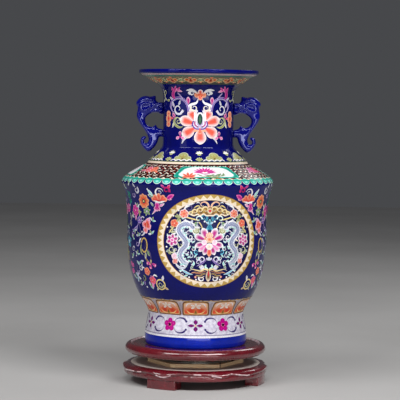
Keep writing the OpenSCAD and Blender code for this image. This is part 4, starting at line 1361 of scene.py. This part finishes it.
def handle_parts():
    """Brow, eye, ear, mane, whisker and tail of the right handle, as tubes: (points, radii, flatness)."""
    parts = []
    for side in (-1, 1):
        y = side * 5.4
        parts += [
            ([(46, y, 365), (51, y, 366.5), (57, y, 364), (62, y, 366)], (2.0, 2.6, 1.8), 0.8),
            ([(52, y * 1.1, 361.5), (54.2, y * 1.15, 361.4)], (1.9, 1.9), 1.0),
            ([(47, y, 358.5), (52, y, 357.0), (58, y, 357.5), (63, y, 355)], (1.5, 2.1, 1.2), 0.8),
            ([(60, y, 371), (66, y, 372.5), (73, y, 371), (78, y, 366.5)], (2.2, 2.6, 1.6), 0.9),
            ([(64, y, 366), (70, y, 367.5), (75, y, 364.5), (75.5, y, 359.5), (71.5, y, 357.5),
              (69.5, y, 360.5)], (2.0, 2.2, 1.3), 0.9),
            ([(58, y, 361), (63.5, y, 361.5), (68, y, 358)], (1.2, 1.8, 1.0), 0.9),
            ([(75.5, y * 0.9, 353), (76.5, y * 0.9, 347), (73, y * 0.9, 339.5), (67, y * 0.9, 331),
              (61.5, y * 0.9, 323)], (1.5, 1.4, 1.1), 0.8),
            ([(57, y * 0.8, 336.5), (60.5, y * 0.8, 333.5), (63.5, y * 0.8, 330)], (1.9, 1.4), 0.8),
        ]
    return parts


def make_handle(side, node_name, name):
    """A moulded dragon handle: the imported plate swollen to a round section, ridged, with raised features."""
    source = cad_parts[node_name].data
    outline = Silhouette(source)
    made = bpy.data.objects.new(name, source.copy())
    bpy.context.scene.collection.objects.link(made)
    applied(made, ("REMESH", dict(mode="VOXEL", voxel_size=0.9 * MM)))
    half = max(abs(v.co.y) for v in source.vertices)
    for vertex in made.data.vertices:
        depth = outline.depth(vertex.co.x, vertex.co.z)
        swell = math.sqrt(max(0.0, 1 - (1 - min(depth, 5.2) / 5.2) ** 2))
        share = vertex.co.y / half
        thick = (half / MM - 1.4) * max(swell, 0.2) + handle_relief(depth)
        vertex.co.y = share * thick * MM
    mesh = bmesh.new()
    mesh.from_mesh(made.data)
    for points, radii, flat in handle_parts():
        points = [(x * side, y, z) for x, y, z in points]
        verts, faces = tube(points, radii, flat)
        new = [mesh.verts.new(v) for v in verts]
        for face in faces:
            mesh.faces.new([new[k] for k in (face if side > 0 else face[::-1])])
    mesh.to_mesh(made.data)
    mesh.free()
    applied(made, ("REMESH", dict(mode="VOXEL", voxel_size=0.62 * MM)),
        ("SMOOTH", dict(factor=0.5, iterations=36)))
    mesh = made.data
    mesh.polygons.foreach_set("use_smooth", [True] * len(mesh.polygons))
    mesh.materials.clear()
    mesh.materials.append(HANDLE_GLAZE)
    paint(made, np.array([HANDLE_BLUE] * len(mesh.vertices)))
    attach(made, "vase")
    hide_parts(node_name)


# ---- stand ----

def lumpy(angle, height, size, grain_mm, seed=0):
    """Hand-carved unevenness, in metres, that closes up round the stand."""
    place = Vector((math.cos(angle), math.sin(angle), height / 0.09)) * (0.09 / (grain_mm * MM))
    return size * MM * noise.noise(place + Vector((seed, 0, 0)))


def disc_section():
    """Outline of the turntable: flat underneath, half-round bead, a turned line, then the seat, in metres."""
    low, high = DISC_LOW[2], DISC_HIGH[2]
    edge = DISC_HIGH[0] - BEAD
    middle, rise = (low + high) / 2, (high - low) / 2
    top = high - MM
    section = [(r, low) for r in np.linspace(0, edge - 3 * MM, 12)]
    round_edge = np.radians(np.linspace(-86, 88, 26))
    section += [(edge + BEAD * math.cos(a), middle + rise * math.sin(a)) for a in round_edge]
    section += [(edge - 0.7 * MM, high - 0.3 * MM), (edge - 1.3 * MM, top - 0.9 * MM),
        (edge - 2.4 * MM, top - 0.6 * MM)]
    section += [(r, top) for r in np.linspace(edge - 3.2 * MM, SEAT_RADIUS + 0.8 * MM, 8)]
    section += [(SEAT_RADIUS, top - 0.4 * MM), (SEAT_RADIUS, top - 1.5 * MM)]
    section += [(r, top - 1.5 * MM) for r in np.linspace(SEAT_RADIUS - 2 * MM, 0, 12)]
    return section


def turntable():
    section = disc_section()
    points, faces = turned(section, 288)
    edge = DISC_HIGH[0] - 9 * MM
    moved = []
    for x, y, z in points:
        radius, angle = math.hypot(x, y), math.atan2(y, x)
        share = np.clip((radius - edge) / BEAD, 0, 1)
        shrink = share * (0.35 * MM + lumpy(angle, z, 0.55, 26) + lumpy(angle, z, 0.3, 9, 5))
        dip = 0.0 if z < DISC_LOW[2] + MM else 0.25 * MM * noise.noise(Vector((x, y, 3)) / (22 * MM))
        scale = (radius - shrink) / radius if radius else 1
        moved.append((x * scale, y * scale, z - abs(dip) * share))
    made = piece("turntable_disc_lacquered", moved, faces, "turntable", "red_lacquer", LACQUER, HIGHLIGHT_LACQUER)
    # Painted highlight: faces of the turned line just inside the bead take the pale highlight lacquer.
    for face in made.data.polygons:
        inset = DISC_HIGH[0] - BEAD - math.hypot(face.center.x, face.center.y)
        if 0.2 * MM < inset < 1.3 * MM and face.center.z > DISC_HIGH[2] - 4 * MM:
            face.material_index = 1
    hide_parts("turntable_disc")
    return made


def ridge_height(angle):
    """Height of the carved ridge on the board's side: it dips to each knot and to a point between knots."""
    azimuth = (math.degrees(angle) + 90) % 120
    along = (azimuth - 25.5) % 120
    keys = [(0, 5.6), (4, 9.4), (10, 7.6), (20, 5.0), (32, 6.4), (44, 7.2), (52, 8.8), (58, 8.2), (66, 4.2),
            (70, 4.0), (76, 7.4), (84, 9.6), (100, 9.2), (110, 6.8), (116, 4.8), (120, 5.6)]
    return np.interp(along, *zip(*keys)) * MM


def board():
    """The round base board: bare on top, with a rounded lacquered rim and a carved side."""
    low, high, edge = BOARD_LOW[2], BOARD_HIGH[2], BOARD_HIGH[0]
    steps, rows = 360, 30
    points, rings = [], []
    profile = [("top", r) for r in np.linspace(0, BARE_RADIUS, 14)]
    profile += [("side", (k + 1) / rows) for k in range(rows)]
    profile += [("under", r) for r in np.linspace(edge - 5 * MM, 0, 8)]
    for kind, value in profile:
        ring = []
        for k in range(steps):
            angle = math.tau * k / steps
            ridge = low + ridge_height(angle)
            if kind == "top":
                radius, z = value, high
            elif kind == "under":
                radius, z = value, low
            else:
                turn = min(value / ROLL_SHARE, 1) * math.pi / 2
                if value <= ROLL_SHARE:
                    radius = BARE_RADIUS + (edge - BARE_RADIUS) * math.sin(turn)
                    z = high - (high - ridge - 1.0 * MM) * (1 - math.cos(turn))
                else:
                    below = (value - ROLL_SHARE) / (1 - ROLL_SHARE)
                    z = ridge + (low - ridge) * below
                    step = 1.7 * MM * min(below * 9, 1)
                    radius = edge - step + 0.5 * MM * math.sin(below * math.pi)
                    radius -= 2.0 * MM * max(0, below - 0.75) * 4 * 0.3
                rough = 0.3 if value <= ROLL_SHARE else 1.0
                radius -= abs(lumpy(angle, z, 0.9, 18)) + abs(lumpy(angle, z, 0.6 * rough, 4, 9))
            if radius == 0:
                ring = ring or [len(points)] * steps
                if k == 0:
                    points.append((0, 0, z))
            else:
                ring.append(len(points))
                points.append((radius * math.cos(angle), radius * math.sin(angle), z))
        rings.append(ring)
    faces = [face[::-1] for face in ring_faces(rings)]
    made = piece("base_board_carved", points, faces, "stand_base", "red_lacquer", LACQUER, bare_top(), HIGHLIGHT_LACQUER)
    crest = 25
    for face in made.data.polygons:
        centre = face.center
        # Painted highlight: most faces of the ridge row take the pale highlight lacquer.
        if face.index // steps == crest and noise.noise(centre / (16 * MM)) > -0.1:
            face.material_index = 2
        if centre.z > high - 0.1 * MM and math.hypot(centre.x, centre.y) < BARE_RADIUS:
            face.material_index = 1
    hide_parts("base_board")
    return made


def stand_foot(node_name):
    """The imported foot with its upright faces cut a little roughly."""
    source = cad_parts[node_name].data
    made = bpy.data.objects.new(node_name + "_carved", source.copy())
    bpy.context.scene.collection.objects.link(made)
    applied(made, ("REMESH", dict(mode="VOXEL", voxel_size=0.8 * MM)),
        ("SMOOTH", dict(factor=0.5, iterations=3)))
    for vertex in made.data.vertices:
        lump = 0.45 * noise.noise(vertex.co / (9 * MM)) + 0.3 * noise.noise(vertex.co / (3 * MM))
        if abs(vertex.normal.z) < 0.6:
            vertex.co -= vertex.normal * (abs(lump) + 0.05) * MM
    mesh = made.data
    mesh.polygons.foreach_set("use_smooth", [True] * len(mesh.polygons))
    mesh.materials.clear()
    mesh.materials.append(LACQUER)
    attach(made, "stand_base")
    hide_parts(node_name)


def dress(node_name, finish):
    """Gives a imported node, whose shape is right, its finish."""
    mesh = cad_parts[node_name].data
    mesh.materials.clear()
    mesh.materials.append(finish)


# ---- stage, light and camera ----

def area_light(name, place, target, size, power, colour=(1, 1, 1)):
    data = bpy.data.lights.new(name, "AREA")
    data.shape, data.size, data.size_y, data.energy, data.color = "RECTANGLE", *size, power, colour
    made = bpy.data.objects.new(name, data)
    bpy.context.scene.collection.objects.link(made)
    made.location = place
    made.rotation_euler = (Vector(target) - Vector(place)).to_track_quat("-Z", "Y").to_euler()


def studio():
    mesh = bpy.data.meshes.new("floor")
    mesh.from_pydata([(-4, -4, 0), (4, -4, 0), (4, 4, 0), (-4, 4, 0)], [], [(0, 1, 2, 3)])
    floor = bpy.data.objects.new("floor", mesh)
    bpy.context.scene.collection.objects.link(floor)
    mesh.materials.append(pale_floor())
    world = bpy.data.worlds.new("studio")
    world.use_nodes = True
    world.node_tree.nodes["Background"].inputs["Color"].default_value = (0.9, 0.93, 1, 1)
    world.node_tree.nodes["Background"].inputs["Strength"].default_value = 0.07
    bpy.context.scene.world = world
    middle = (0, 0, 0.22)
    area_light("high_right", (0.95, -1.3, 1.7), middle, (1.05, 0.5), 26)
    area_light("high_left", (-1.15, -1.1, 1.65), middle, (1.1, 0.5), 16)
    area_light("high_centre", (-0.1, -1.55, 1.9), middle, (0.8, 0.42), 14)
    area_light("soft_left", (-1.55, -1.35, 0.75), middle, (0.8, 1.0), 2.5)
    area_light("low_front", (0.3, -2.3, 0.14), (0, 0, 0.03), (2.2, 0.24), 12)
    area_light("back_right", (0.9, 1.3, 1.5), middle, (0.6, 0.6), 4)


def camera():
    """A long lens a little above the vase's shoulder, turned very slightly, as a hand-held camera is."""
    data = bpy.data.cameras.new("camera")
    data.sensor_width = 36
    data.lens = 156.7
    made = bpy.data.objects.new("camera", data)
    bpy.context.scene.collection.objects.link(made)
    tilt, roll = math.radians(90 - 3.17), math.radians(0.74)
    place = Vector((0.0036, -2.3, 0.3675))
    turned_by = Matrix.Rotation(tilt, 4, "X") @ Matrix.Rotation(roll, 4, "Z")
    made.matrix_world = Matrix.Translation(place) @ turned_by
    bpy.context.scene.camera = made


camera()
studio()
bpy.context.scene.view_settings.view_transform = "Standard"

vase_wall()
rim_band()
SIDES = (("front", 0), ("back", 180))
for face_name, half_turn in SIDES:
    neck_picture(NECK_TURN + half_turn, "neck_" + face_name)
neck_foot_band()
shoulder_band()
for face_name, half_turn in SIDES:
    medallion(MEDALLION_TURN + half_turn, "medallion_" + face_name)
for face_name, half_turn in SIDES:
    sprays(MEDALLION_TURN + half_turn, "sprays_" + face_name)
lappet_band()
white_band()
make_handle(1, "handle_right", "dragon_handle_right")
make_handle(-1, "handle_left", "dragon_handle_left")

turntable()
board()
for foot_name in ("stand_foot_right", "stand_foot_back", "stand_foot_front"):
    stand_foot(foot_name)
dress("plywood_plate", plywood())
for zinc_name in ("bearing_upper_plate", "bearing_lower_plate", "turntable_screws", "base_screws",
                  "foot_screws", "centre_rivet"):
    dress(zinc_name, SHADED_ZINC)
dress("bearing_balls", BALL_STEEL)
dress("ball_cage", nylon())
